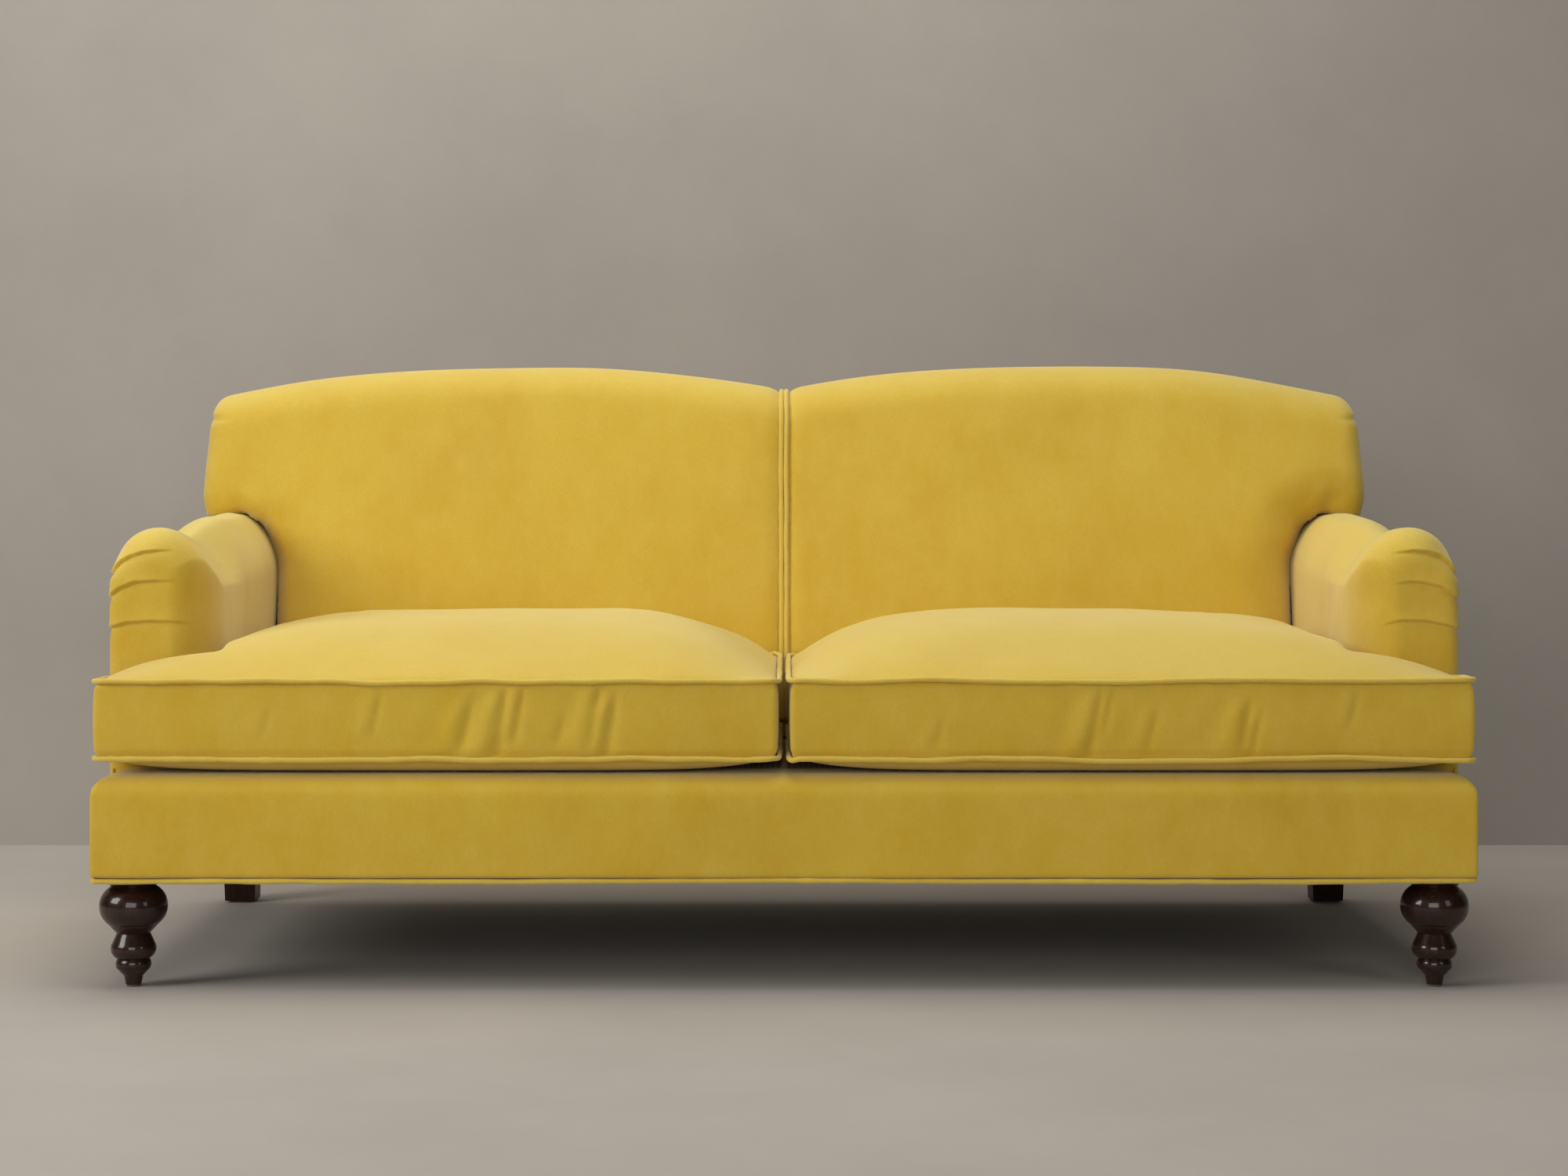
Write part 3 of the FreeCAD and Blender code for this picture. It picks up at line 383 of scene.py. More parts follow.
class Recipe:
    """A material under construction, on top of its one shader."""

    def __init__(self, name):
        self.material = bpy.data.materials.new(name)
        self.material.use_nodes = True
        self.tree = self.material.node_tree
        self.shader = self.tree.nodes["Principled BSDF"]
        self.place = self.add("ShaderNodeTexCoord").outputs["Object"]

    def add(self, kind, values=None, **fields):
        made = self.tree.nodes.new(kind)
        for field, value in fields.items():
            setattr(made, field, value)
        for socket, value in (values or {}).items():
            self.feed(made.inputs[socket], value)
        return made

    def feed(self, socket, value):
        if isinstance(value, bpy.types.NodeSocket):
            self.tree.links.new(value, socket)
        elif hasattr(value, "__len__") and len(value) == 3 and socket.type == "RGBA":
            socket.default_value = (*value, 1)
        else:
            socket.default_value = value

    def stretched(self, scale):
        return self.add("ShaderNodeMapping", {"Vector": self.place, "Scale": scale}).outputs["Vector"]

    def noise(self, place, scale, detail=2.0, roughness=0.5, distortion=0.0):
        values = {"Vector": place, "Scale": scale, "Detail": detail, "Roughness": roughness}
        values["Distortion"] = distortion
        return self.add("ShaderNodeTexNoise", values).outputs["Fac"]

    def span(self, value, low, high, to_low=0.0, to_high=1.0):
        values = {"Value": value, "From Min": low, "From Max": high, "To Min": to_low, "To Max": to_high}
        return self.add("ShaderNodeMapRange", values).outputs["Result"]

    def mix(self, share_of_second, first, second):
        made = self.add("ShaderNodeMix", data_type="RGBA")
        for place, value in ((0, share_of_second), (6, first), (7, second)):
            self.feed(made.inputs[place], value)
        return made.outputs[2]

    def bump(self, height, distance, strength=1.0, under=None):
        values = {"Height": height, "Distance": distance, "Strength": strength}
        if under is not None:
            values["Normal"] = under
        return self.add("ShaderNodeBump", values).outputs["Normal"]

    def set(self, **values):
        for socket, value in values.items():
            self.feed(self.shader.inputs[socket.replace("_", " ")], value)
        return self.material


def velvet(name, cloth, stroke=1.0, lift=0.0, painted_top_light=0.0):
    """Cut pile over a woven ground, brushed in soft patches, with painted top light: faces that point up are
    mixed towards pale gold.
    """
    made = Recipe(name)
    patches = made.span(made.noise(made.place, 3.0, 4.0, 0.60), 0.32, 0.68, 0.20, 1.0)
    strokes = made.span(made.noise(made.stretched((1.3, 1.3, 0.8)), 13.0, 8.0, 0.75), 0.34, 0.70)
    threads = made.noise(made.stretched((1.0, 1.0, 0.5)), 420.0, 2.0, 0.6)
    pile = made.noise(made.place, 1500.0, 2.0, 0.7)
    ground = made.mix(patches, tuple(cloth.deep_gold), tuple(cloth.gold))
    brushed = made.mix(made.span(strokes, 0, 1, lift, lift + 0.46 * stroke), ground, tuple(cloth.pale_gold))
    # Painted top light: the more a face points up, the more pale gold is mixed in, up to the given amount,
    # standing in for light from above and the sheen on top.
    if painted_top_light:
        facing = made.add("ShaderNodeNewGeometry").outputs["Normal"]
        level = made.add("ShaderNodeSeparateXYZ", {"Vector": facing}).outputs["Z"]
        brushed = made.mix(made.span(level, -0.05, 0.80, 0.0, painted_top_light), brushed, tuple(cloth.pale_gold))
    woven = made.mix(made.span(threads, 0.35, 0.65, 0.24, 0.0), brushed, tuple(cloth.deep_gold))
    fine = made.bump(threads, cloth.pile, 0.3)
    tips = made.bump(pile, cloth.pile, 0.4, fine)
    return made.set(
        Base_Color=woven, Roughness=0.9, Specular_IOR_Level=0.12, Normal=tips,
        Sheen_Weight=cloth.sheen, Sheen_Roughness=cloth.sheen_roughness, Sheen_Tint=tuple(cloth.sheen_gold),
    )


def polished_wood(name, timber, coat):
    """Dark stained wood under a lacquer."""
    made = Recipe(name)
    grain = made.noise(made.stretched((1.0, 1.0, 0.08)), 210.0, 4.0, 0.6, 0.6)
    clouds = made.noise(made.place, 22.0, 3.0)
    lit = made.mix(made.span(grain, 0.35, 0.75, 0.0, 0.7), tuple(timber.espresso), tuple(timber.russet))
    stained = made.mix(made.span(clouds, 0.35, 0.7, 0.0, 0.6), lit, tuple(timber.espresso))
    return made.set(
        Base_Color=stained, Roughness=made.span(grain, 0.3, 0.7, 0.30, 0.42), Specular_IOR_Level=0.18,
        Normal=made.bump(grain, 0.0001, 0.2), Coat_Weight=coat, Coat_Roughness=0.05,
    )


def beech_wood(name, timber, run):
    """Sawn beech with its grain along one axis."""
    made = Recipe(name)
    scale = tuple(0.06 if axis == run else 1.0 for axis in "xyz")
    grain = made.noise(made.stretched(scale), 95.0, 4.0, 0.6, 0.8)
    flecks = made.noise(made.stretched(tuple(0.2 if axis == run else 1.0 for axis in "xyz")), 620.0, 2.0)
    tone = made.mix(made.span(grain, 0.35, 0.65), tuple(timber.beech_grain), tuple(timber.beech))
    flecked = made.mix(made.span(flecks, 0.58, 0.72, 0.0, 0.5), tone, tuple(timber.beech_grain))
    return made.set(
        Base_Color=flecked, Roughness=made.span(grain, 0.3, 0.7, 0.5, 0.68),
        Normal=made.bump(grain, 0.0004, 0.4),
    )


def metal(name, dark, bright, roughness):
    made = Recipe(name)
    marks = made.noise(made.place, 240.0, 4.0, 0.65)
    tone = made.mix(made.span(marks, 0.35, 0.7), dark, bright)
    return made.set(
        Base_Color=tone, Metallic=1.0, Normal=made.bump(marks, 0.0001, 0.3),
        Roughness=made.span(marks, 0.3, 0.7, roughness, roughness + 0.15),
    )


def woven_cloth(name, dark, light, pitch):
    """Plain weave: two sets of threads that cross."""
    made = Recipe(name)
    waves = {
        "Vector": made.place, "Scale": 0.5 / pitch / 10,
        "Distortion": 0.6, "Detail": 1.0, "Detail Scale": 4.0,
    }
    warp, weft = (
        made.add("ShaderNodeTexWave", waves, bands_direction=way).outputs["Fac"] for way in ("X", "Y")
    )
    weave = made.add("ShaderNodeMath", {0: warp, 1: weft}, operation="MULTIPLY").outputs[0]
    slub = made.noise(made.stretched((1.0, 0.25, 1.0)), 90.0, 3.0)
    tone = made.mix(made.span(weave, 0.0, 0.7), dark, light)
    slubbed = made.mix(made.span(slub, 0.4, 0.7, 0.0, 0.3), tone, dark)
    return made.set(
        Base_Color=slubbed, Roughness=0.9, Specular_IOR_Level=0.2,
        Normal=made.bump(weave, pitch / 3, 0.5), Sheen_Weight=0.15, Sheen_Roughness=0.5,
    )


def felt(name, dark, light):
    made = Recipe(name)
    fibres = made.noise(made.stretched((1.0, 1.0, 0.4)), 700.0, 4.0, 0.7, 1.0)
    tone = made.mix(made.span(fibres, 0.35, 0.65), dark, light)
    return made.set(
        Base_Color=tone, Roughness=0.95, Normal=made.bump(fibres, 0.0006, 0.6),
        Sheen_Weight=0.3, Sheen_Roughness=0.5,
    )


def studio_paint(name, tone, see_through_behind=False):
    """A plain painted surface with faint clouding."""
    made = Recipe(name)
    clouds = made.noise(made.place, 1.6, 9.0, 0.68)
    darker = tuple(0.9 * part for part in tone)
    made.set(Base_Color=made.mix(made.span(clouds, 0.35, 0.65), darker, tone), Roughness=0.8)
    if see_through_behind:
        clear = made.add("ShaderNodeBsdfTransparent")
        behind = made.add("ShaderNodeNewGeometry").outputs["Backfacing"]
        both = made.add("ShaderNodeMixShader", {0: behind, 1: made.shader.outputs[0], 2: clear.outputs[0]})
        made.tree.links.new(both.outputs[0], made.tree.nodes["Material Output"].inputs["Surface"])
    return made.material


def finish_named(name, make, *values, **options):
    """The material of that name, made once."""
    found = bpy.data.materials.get(name)
    return found if found else make(name, *values, **options)


# The amounts give how much painted top light each velvet carries on faces that point up; the seat velvet
# also covers the back.
VELVETS = {
    "brushed_velvet": {},
    "seat_velvet": {"painted_top_light": 0.45},
    "arm_velvet": {"painted_top_light": 0.85},
    "welt_velvet": {"stroke": 0.6, "lift": 0.5},
}


def velvet_named(context, name):
    return finish_named(name, velvet, context.scene.sofa_velvet, **VELVETS[name])


# Seat cushions

ARM_SPLAY, SPLAY_Y, SPLAY_Z = 0.017, (-0.30, -0.02), (0.31, 0.37)
CUSHION_SPLAY = 0.8


def splay(deep, up):
    """How far the inner face of an arm stands further out towards the rear, above the deck."""
    return ARM_SPLAY * ease(deep, *SPLAY_Y) * ease(up, *SPLAY_Z)


def stepped(stops, pitch):
    """Numbers that run through the stops in even steps."""
    numbers = []
    for start, end in zip(stops, stops[1:]):
        count = max(1, round((end - start) / pitch))
        numbers += [start + (end - start) * step / count for step in range(count)]
    return np.array(numbers + [stops[-1]])


class CushionPlan:
    """The T-shaped plan of a cushion: out is the distance from the sofa's middle, deep runs to the rear."""

    EAR_REAR = -0.380
    FACE_GAP = 0.0128
    OUTER_POWER, INNER_POWER = 5, 7
    FRONT_POWER, REAR_POWER = 3.6, 4.5
    ARM_PRESS, ARM_EDGE = 0.10, 0.003
    BELLY_ENDS, BELLY_SIDES = 0.016, 0.055
    NEAR_ARM, NEAR_REAR = 0.15, 0.12

    def __init__(self, sizes):
        self.middle_z = (TOP_WELT[0].z + LOW_WELT[1].z) / 2
        self.inner = COVER[0].x + 0.001
        self.ear = COVER[1].x + 0.003
        self.arm = TAPE[1].x + (TAPE[0].x - COVER[0].x)
        self.front = COVER[0].y + 0.002
        self.ear_rear = self.EAR_REAR
        self.rear = face_y(self.middle_z) - self.FACE_GAP
        self.top = (TOP_WELT[0].z + TOP_WELT[1].z) / 2
        self.low = (LOW_WELT[0].z + LOW_WELT[1].z) / 2
        self.outs = stepped([self.inner, self.arm, self.ear], sizes.pitch)
        self.deeps = stepped([self.front, self.ear_rear, self.rear], sizes.pitch)
        self.arm_column = int(np.argmin(abs(self.outs - self.arm)))
        self.ear_row = int(np.argmin(abs(self.deeps - self.ear_rear)))

    def inside(self, column, row):
        return column <= self.arm_column or row <= self.ear_row

    def edge(self):
        """Grid places round the plan, from the front inner corner outwards and back."""
        last_column, last_row = len(self.outs) - 1, len(self.deeps) - 1
        places = [(column, 0) for column in range(last_column)]
        places += [(last_column, row) for row in range(self.ear_row)]
        places += [(column, self.ear_row) for column in range(last_column, self.arm_column, -1)]
        places += [(self.arm_column, row) for row in range(self.ear_row, last_row)]
        places += [(column, last_row) for column in range(self.arm_column, 0, -1)]
        places += [(0, row) for row in range(last_row, 0, -1)]
        return places

    def reach(self, out, deep):
        """Distances to the front or rear edge, and to the nearest side edge."""
        beside = np.where(deep > self.ear_rear, self.arm - out, self.ear - out)
        ends = np.minimum(deep - self.front, self.rear - deep)
        on_ear = out > self.arm
        ends = np.where(on_ear, np.minimum(deep - self.front, self.ear_rear - deep), ends)
        return np.clip(ends, 0, None), np.clip(np.minimum(out - self.inner, beside), 0, None)

    def crown(self, out, deep, sizes):
        """Height of the top above its welt."""
        across = (out - self.inner) / (self.ear - self.inner)
        from_middle = np.clip(2 * across - 1, -1, 1)
        over = 1 - np.abs(from_middle) ** np.where(from_middle > 0, self.OUTER_POWER, self.INNER_POWER)
        along = (deep - self.front) / (self.rear - self.front)
        before, behind = sizes.crown_peak, 1 - sizes.crown_peak
        rise = np.where(
            along < before,
            1 - np.abs((along - before) / before) ** self.FRONT_POWER,
            1 - np.abs((along - before) / behind) ** self.REAR_POWER,
        )
        notch = np.where(
            deep > self.ear_rear,
            self.arm - out,
            np.hypot(np.clip(self.arm - out, 0, None), self.ear_rear - deep),
        )
        notch = np.clip(notch, 0, None)
        full = sizes.crown * over * rise
        at_arm = sizes.arm_crown + 0.005 * bell(deep - self.ear_rear, 0.02, 0.06)
        pressed = full - np.exp(-notch / self.ARM_PRESS) * np.clip(full - at_arm, 0, None)
        return pressed * rising(notch, self.ARM_EDGE)

    def belly(self, out, deep, sizes):
        """Drop of the underside below its welt."""
        ends, sides = self.reach(out, deep)
        return sizes.belly * rising(ends, self.BELLY_ENDS) * rising(sides, self.BELLY_SIDES)

    def rounded(self, out, deep, radius):
        """Rounds the corners that stand out in plan."""
        corners = [
            (self.inner, self.front, 1, 1), (self.ear, self.front, -1, 1),
            (self.ear, self.ear_rear, -1, -1), (self.inner, self.rear, 1, -1), (self.arm, self.rear, -1, -1),
        ]
        out, deep = out.copy(), deep.copy()
        for corner_out, corner_deep, way_out, way_deep in corners:
            first = 1 - (out - corner_out) * way_out / radius
            second = 1 - (deep - corner_deep) * way_deep / radius
            near = (first > 0) & (second > 0) & (first <= 1.001) & (second <= 1.001)
            a, b = first[near], second[near]
            out[near] = corner_out + way_out * radius * (1 - a * np.sqrt(1 - b * b / 2))
            deep[near] = corner_deep + way_deep * radius * (1 - b * np.sqrt(1 - a * a / 2))
        return out, deep


def cushion_mesh(side, plan, sizes):
    """A boxed cushion: top and underside on one grid, with the boxing between them.

    Returns the mesh, the point numbers of the top and bottom seams, and the points that stay put.
    """
    columns, rows = len(plan.outs), len(plan.deeps)
    grid = [(c, r) for r in range(rows) for c in range(columns) if plan.inside(c, r)]
    number = {place: index for index, place in enumerate(grid)}
    out = np.array([plan.outs[c] for c, r in grid])
    deep = np.array([plan.deeps[r] for c, r in grid])
    edge = plan.edge()
    edge_numbers = np.array([number[place] for place in edge])
    top_z = plan.top + plan.crown(out, deep, sizes)
    low_z = plan.low - plan.belly(out, deep, sizes)
    top_z[edge_numbers] = plan.top
    low_z[edge_numbers] = plan.low
    bands = max(4, round((plan.top - plan.low) / sizes.pitch))
    layers = [np.column_stack([out, deep, top_z]), np.column_stack([out, deep, low_z])]
    for band in range(1, bands):
        share_up = band / bands
        height = plan.low + (plan.top - plan.low) * share_up
        stands = sizes.bulge * math.sin(math.pi * share_up)
        wide = out[edge_numbers] + stands * (out[edge_numbers] > plan.ear - 0.001)
        near = deep[edge_numbers] - stands * (deep[edge_numbers] < plan.front + 0.001)
        layers.append(np.column_stack([wide, near, np.full(len(edge), height)]))
    points = np.vstack(layers)
    places = len(grid)

    def ring(band):
        if band == bands:
            return edge_numbers
        if band == 0:
            return edge_numbers + places
        return 2 * places + (band - 1) * len(edge) + np.arange(len(edge))

    faces = []
    for r in range(rows - 1):
        for c in range(columns - 1):
            around = [(c, r), (c + 1, r), (c + 1, r + 1), (c, r + 1)]
            middle = (plan.outs[c] + plan.outs[c + 1]) / 2, (plan.deeps[r] + plan.deeps[r + 1]) / 2
            if middle[0] > plan.arm and middle[1] > plan.ear_rear:
                continue
            corners = [number[place] for place in around]
            faces.append(corners)
            faces.append([place + places for place in reversed(corners)])
    for band in range(bands):
        here, above = ring(band), ring(band + 1)
        for step in range(len(edge)):
            after = (step + 1) % len(edge)
            faces.append([here[step], here[after], above[after], above[step]])
    points[:, 0], points[:, 1] = plan.rounded(points[:, 0], points[:, 1], sizes.corner)
    near_arm = ease(points[:, 0], plan.arm - plan.NEAR_ARM, plan.arm)
    points[:, 0] += CUSHION_SPLAY * splay(points[:, 1], points[:, 2]) * near_arm
    lean = ease(points[:, 1], plan.rear - plan.NEAR_REAR, plan.rear)
    points[:, 1] += FACE_SLOPE * (points[:, 2] - plan.middle_z) * lean
    points[:, 0] *= side
    mesh = bpy.data.meshes.new("cushion")
    mesh.from_pydata(points.tolist(), [], [[int(place) for place in face] for face in faces])
    outward(mesh)
    held = set(int(place) for place in ring(0)) | set(int(place) for place in ring(bands))
    held |= set(range(places, 2 * places))
    at_rear = [step for step, (c, r) in enumerate(edge) if r == rows - 1]
    for band in range(1, bands):
        held |= set(int(ring(band)[step]) for step in at_rear)
    return mesh, ring(bands), ring(0), sorted(held)


def filled_by_pressure(mesh, held, sizes):
    """Blows the cloth up between its seams, and gives the moved points."""
    start = points_of(mesh)
    scene = bpy.context.scene
    holder = holder_of(mesh.copy())
    sewn = holder.vertex_groups.new(name="sewn")
    sewn.add(held, 1.0, "REPLACE")
    cloth = holder.modifiers.new("cloth", "CLOTH")
    cloth.settings.vertex_group_mass = "sewn"
    cloth.settings.use_pressure = True
    cloth.settings.uniform_pressure_force = sizes.pressure
    cloth.settings.mass = 0.25
    cloth.settings.bending_stiffness = 1.2
    cloth.settings.air_damping = 2.0
    cloth.settings.quality = 6
    cloth.settings.effector_weights.gravity = 0
    cloth.collision_settings.use_collision = False
    cloth.point_cache.frame_start = 1
    cloth.point_cache.frame_end = sizes.frames
    for step in range(1, sizes.frames + 1):
        scene.frame_set(step)
    moved = finished_mesh(holder)
    end = points_of(moved)
    bpy.data.meshes.remove(moved)
    scene.frame_set(1)
    shift = end - start
    far = np.linalg.norm(shift, axis=1)
    limit = np.minimum(1, sizes.give * np.tanh(far / sizes.give) / np.maximum(far, 1e-9))
    return start + shift * limit[:, None]


PUCKERS = {
    "left": [
        (0.548, 0.3, 0.9, 0.5), (0.428, 0.1, 0.75, 0.9), (0.385, 0.0, 0.9, 1.4), (0.362, 0.2, 0.95, 0.9),
        (0.262, 0.1, 0.95, 1.1), (0.240, 0.0, 0.8, 1.3), (0.300, 0.2, 0.6, 0.4), (0.690, 0.3, 0.7, 0.3),
    ],
    "right": [
        (0.400, 0.0, 0.9, 0.9), (0.416, 0.3, 0.9, 0.5), (0.480, 0.1, 0.7, 0.4), (0.598, 0.1, 0.75, 1.1),
        (0.616, 0.0, 0.6, 0.7), (0.739, 0.4, 0.9, 0.4), (0.200, 0.1, 0.5, 0.4),
    ],
}


def pucker_front(points, name, plan, sizes):
    """Short gathers in the front boxing, each with a place, a foot, a head and a strength."""
    lean, width, fan = 0.026, 0.0062, 0.005
    up = (points[:, 2] - plan.low) / (plan.top - plan.low)
    on_front = (points[:, 1] < plan.front + 0.012) & (up > 0.02) & (up < 0.98)
    for place, foot, head, strength in PUCKERS[name]:
        beside = points[:, 0] - SIDES[name] * place - lean * (up - 0.5)
        across = beside / (width + fan * (1 - up) * strength)
        fold = bell(across, -0.6, 1.3) - 1.1 * bell(across, 1.4, 0.75) - 0.35 * bell(across, -3.6, 1.8)
        upright = ease(up, foot - 0.12, foot + 0.18) * (1 - ease(up, head - 0.22, head + 0.12))
        points[on_front, 1] -= (sizes.pucker * strength * fold * upright)[on_front]
    return points


class SOFA_OT_seat_cushions(Operator):
    """Makes the two loose cushions, each with its filling and two welts"""

    bl_idname = "sofa.seat_cushions"
    bl_label = "Seat cushions"

    LOFT = 0.0016
    FILLING_INSET = 0.006
    LONG_WANDER, SHORT_WANDER = 0.0022, 0.0008
    GROOVE, GROOVE_AWAY, GROOVE_WIDTH = 0.0022, 0.0045, 0.0035
    WELT_STEP, WELT_STANDS, WELT_DROP = 0.004, 0.38, 0.0008
    CRUMPLE = 0.0008, 0.0, 0.0022

    def execute(self, context):
        sizes = context.scene.sofa_cushions
        plan = CushionPlan(sizes)
        ticking = finish_named(
            "cotton_ticking", woven_cloth, (0.62, 0.59, 0.53), (0.83, 0.81, 0.76), 0.0009
        )
        for name, side in SIDES.items():
            body = name + "_cushion"
            mesh, top_seam, low_seam, held = cushion_mesh(side, plan, sizes)
            points = filled_by_pressure(mesh, held, sizes)
            loft = points[:, 2] > plan.top + 0.002
            points[:, 2] += np.where(loft, self.LOFT * ripple(points, 0.16, 11 + side), 0)
            for seam, seed in ((top_seam, 31), (low_seam, 47)):
                self.wander(points, seam, seed + side)
            filling = mesh.copy()
            move_points(filling, points)
            move_points(filling, points - self.FILLING_INSET * normals_of(filling))
            move_points(mesh, points)
            cloth = subdivided(mesh)
            move_points(cloth, pucker_front(points_of(cloth), name, plan, sizes))
            self.groove(cloth, plan)
            # The seat velvet carries painted top light on the cushion tops.
            seat = velvet_named(context, "seat_velvet")
            padded_piece(body + "_velvet", cloth, seat, body + "_cover", body)
            padded_piece(body + "_filling", filling, ticking, body + "_core", body)
            self.welt(context, name, "top", points[top_seam], self.WELT_DROP)
            self.welt(context, name, "bottom", points[low_seam], -self.WELT_DROP)
        return {"FINISHED"}

    def wander(self, points, seam, seed):
        """Lets a seam rise and fall a little along its length."""
        line = points[seam]
        long, short = ripple(line, 0.22, seed), ripple(line, 0.07, seed + 5)
        points[seam, 2] += self.LONG_WANDER * long + self.SHORT_WANDER * short

    def groove(self, mesh, plan):
        """Draws the boxing in where it is sewn to a welt."""
        points, normals = points_of(mesh), normals_of(mesh)
        beside = np.abs(normals[:, 2]) < 0.8
        for height, way in ((plan.top, -1), (plan.low, 1)):
            away = (points[:, 2] - height) * way
            near = bell(away, self.GROOVE_AWAY, self.GROOVE_WIDTH) * beside
            points -= normals * (self.GROOVE * near)[:, None]
        move_points(mesh, points)

    def welt(self, context, name, label, seam, drop):
        sizes = context.scene.sofa_cushions
        middle = seam.mean(axis=0)
        path = smoothed_path(even_path(seam, self.WELT_STEP, True), 3, True)
        along = np.roll(path, -1, axis=0) - np.roll(path, 1, axis=0)
        outside = np.cross(along, (0, 0, 1))
        outside /= np.linalg.norm(outside, axis=1)[:, None]
        if np.sum(outside * (path - middle)) < 0:
            outside = -outside
        path = path + outside * sizes.welt * self.WELT_STANDS + np.array([0, 0, drop])
        inner = 1 - ease(np.abs(path[:, 0]), COVER[0].x + 0.004, COVER[0].x + 0.012)
        crumple = np.column_stack([ripple(path, 0.030, seed) for seed in (63, 64, 65)])
        path = path + crumple * np.array(self.CRUMPLE) * inner[:, None]
        mesh = piping(path, sizes.welt, True, 60 + len(label) + SIDES[name])
        node = f"{name}_cushion_{label}_welt"
        cover = velvet_named(context, "welt_velvet")
        new_piece(node + "_piping", mesh, cover, name + "_cushion", stands_for=[node])


class SOFA_OT_zips(Operator):
    """Gives the zips their woven tape, teeth and metal sliders"""

    bl_idname = "sofa.zips"
    bl_label = "Zips"

    PITCH, TOOTH, ROW_OFFSET, STANDS = 0.0026, (0.0016, 0.0042), 0.0011, 0.0012

    def execute(self, context):
        cloth = context.scene.sofa_velvet
        tape = finish_named("zip_webbing", woven_cloth, tuple(cloth.deep_gold), tuple(cloth.gold), 0.0007)
        brass = finish_named("zip_brass", metal, (0.42, 0.30, 0.12), (0.72, 0.55, 0.25), 0.25)
        for name, side in SIDES.items():
            dress(name + "_zip_tape", tape)
            dress(name + "_zip_slider", brass)
            ease_edges(name + "_zip_slider", 0.0006)
            teeth = self.teeth(*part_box(name + "_zip_tape"), side)
            new_piece(name + "_zip_teeth", teeth, brass, name + "_cushion")
        return {"FINISHED"}

    def teeth(self, low, high, side):
        """Two rows of teeth that meet along the middle of the tape."""
        work = bmesh.new()
        middle = (low + high) / 2
        pitch = self.PITCH
        count = int((high.x - low.x) / pitch) - 2
        start = low.x if side > 0 else high.x
        for place in range(count):
            row = 1 if place % 2 else -1
            block = bmesh.ops.create_cube(work, size=1.0)["verts"]
            bmesh.ops.scale(work, vec=(pitch * 0.62, *self.TOOTH), verts=block)
            x = start + side * pitch * (place + 1.5)
            z = middle.z + row * self.ROW_OFFSET
            y = middle.y + self.STANDS + FACE_SLOPE * (z - middle.z)
            bmesh.ops.translate(work, vec=(x, y, z), verts=block)
        bmesh.ops.bevel(work, geom=work.edges[:], offset=0.0003, segments=1, affect="EDGES")
        mesh = bpy.data.meshes.new("teeth")
        work.to_mesh(mesh)
        work.free()
        return mesh


# Arms

PLEATS = {
    "left": [
        [(0.829, 0.5795), (0.850, 0.579), (0.869, 0.577), (0.888, 0.571), (0.900, 0.5645), (0.907, 0.557),
         (0.915, 0.548)],
        [(0.824, 0.537), (0.854, 0.538), (0.881, 0.5365), (0.902, 0.528), (0.913, 0.519), (0.917, 0.515)],
        [(0.804, 0.480), (0.835, 0.483), (0.859, 0.4835), (0.892, 0.4815), (0.910, 0.476), (0.916, 0.474)],
    ],
    "right": [
        [(0.824, 0.576), (0.855, 0.579), (0.875, 0.577), (0.893, 0.571), (0.904, 0.562), (0.915, 0.548)],
        [(0.826, 0.534), (0.848, 0.537), (0.865, 0.536), (0.893, 0.529), (0.907, 0.521), (0.915, 0.515)],
        [(0.812, 0.477), (0.826, 0.482), (0.840, 0.4845), (0.871, 0.4835), (0.898, 0.478), (0.915, 0.473)],
    ],
}


def pleat_fields(points, lines):
    """For each pleat: height above its line, and how far it has opened, at each point."""
    out = np.abs(points[:, 0])
    for line in lines:
        outs, heights = np.array(line).T
        level = np.interp(out, outs, heights)
        steep = (np.interp(out + 0.003, outs, heights) - np.interp(out - 0.003, outs, heights)) / 0.006
        above = (points[:, 2] - level) / np.sqrt(1 + steep * steep)
        yield above, ease(out, outs[0] - 0.004, outs[0] + 0.045)


def refine_near_pleats(mesh, lines, rear):
    """Splits the faces beside the pleats, where the folds are sharper than the mesh."""
    points = points_of(mesh)
    near = np.zeros(len(points), dtype=bool)
    for above, opened in pleat_fields(points, lines):
        near |= (np.abs(above) < 0.011) & (opened > 0.01) & (points[:, 1] < rear)
    work = bmesh.new()
    work.from_mesh(mesh)
    work.verts.ensure_lookup_table()
    edges = [edge for edge in work.edges if near[edge.verts[0].index] and near[edge.verts[1].index]]
    bmesh.ops.subdivide_edges(work, edges=edges, cuts=2, use_grid_fill=True, smooth=0.0)
    work.to_mesh(mesh)
    work.free()
    mesh.update()


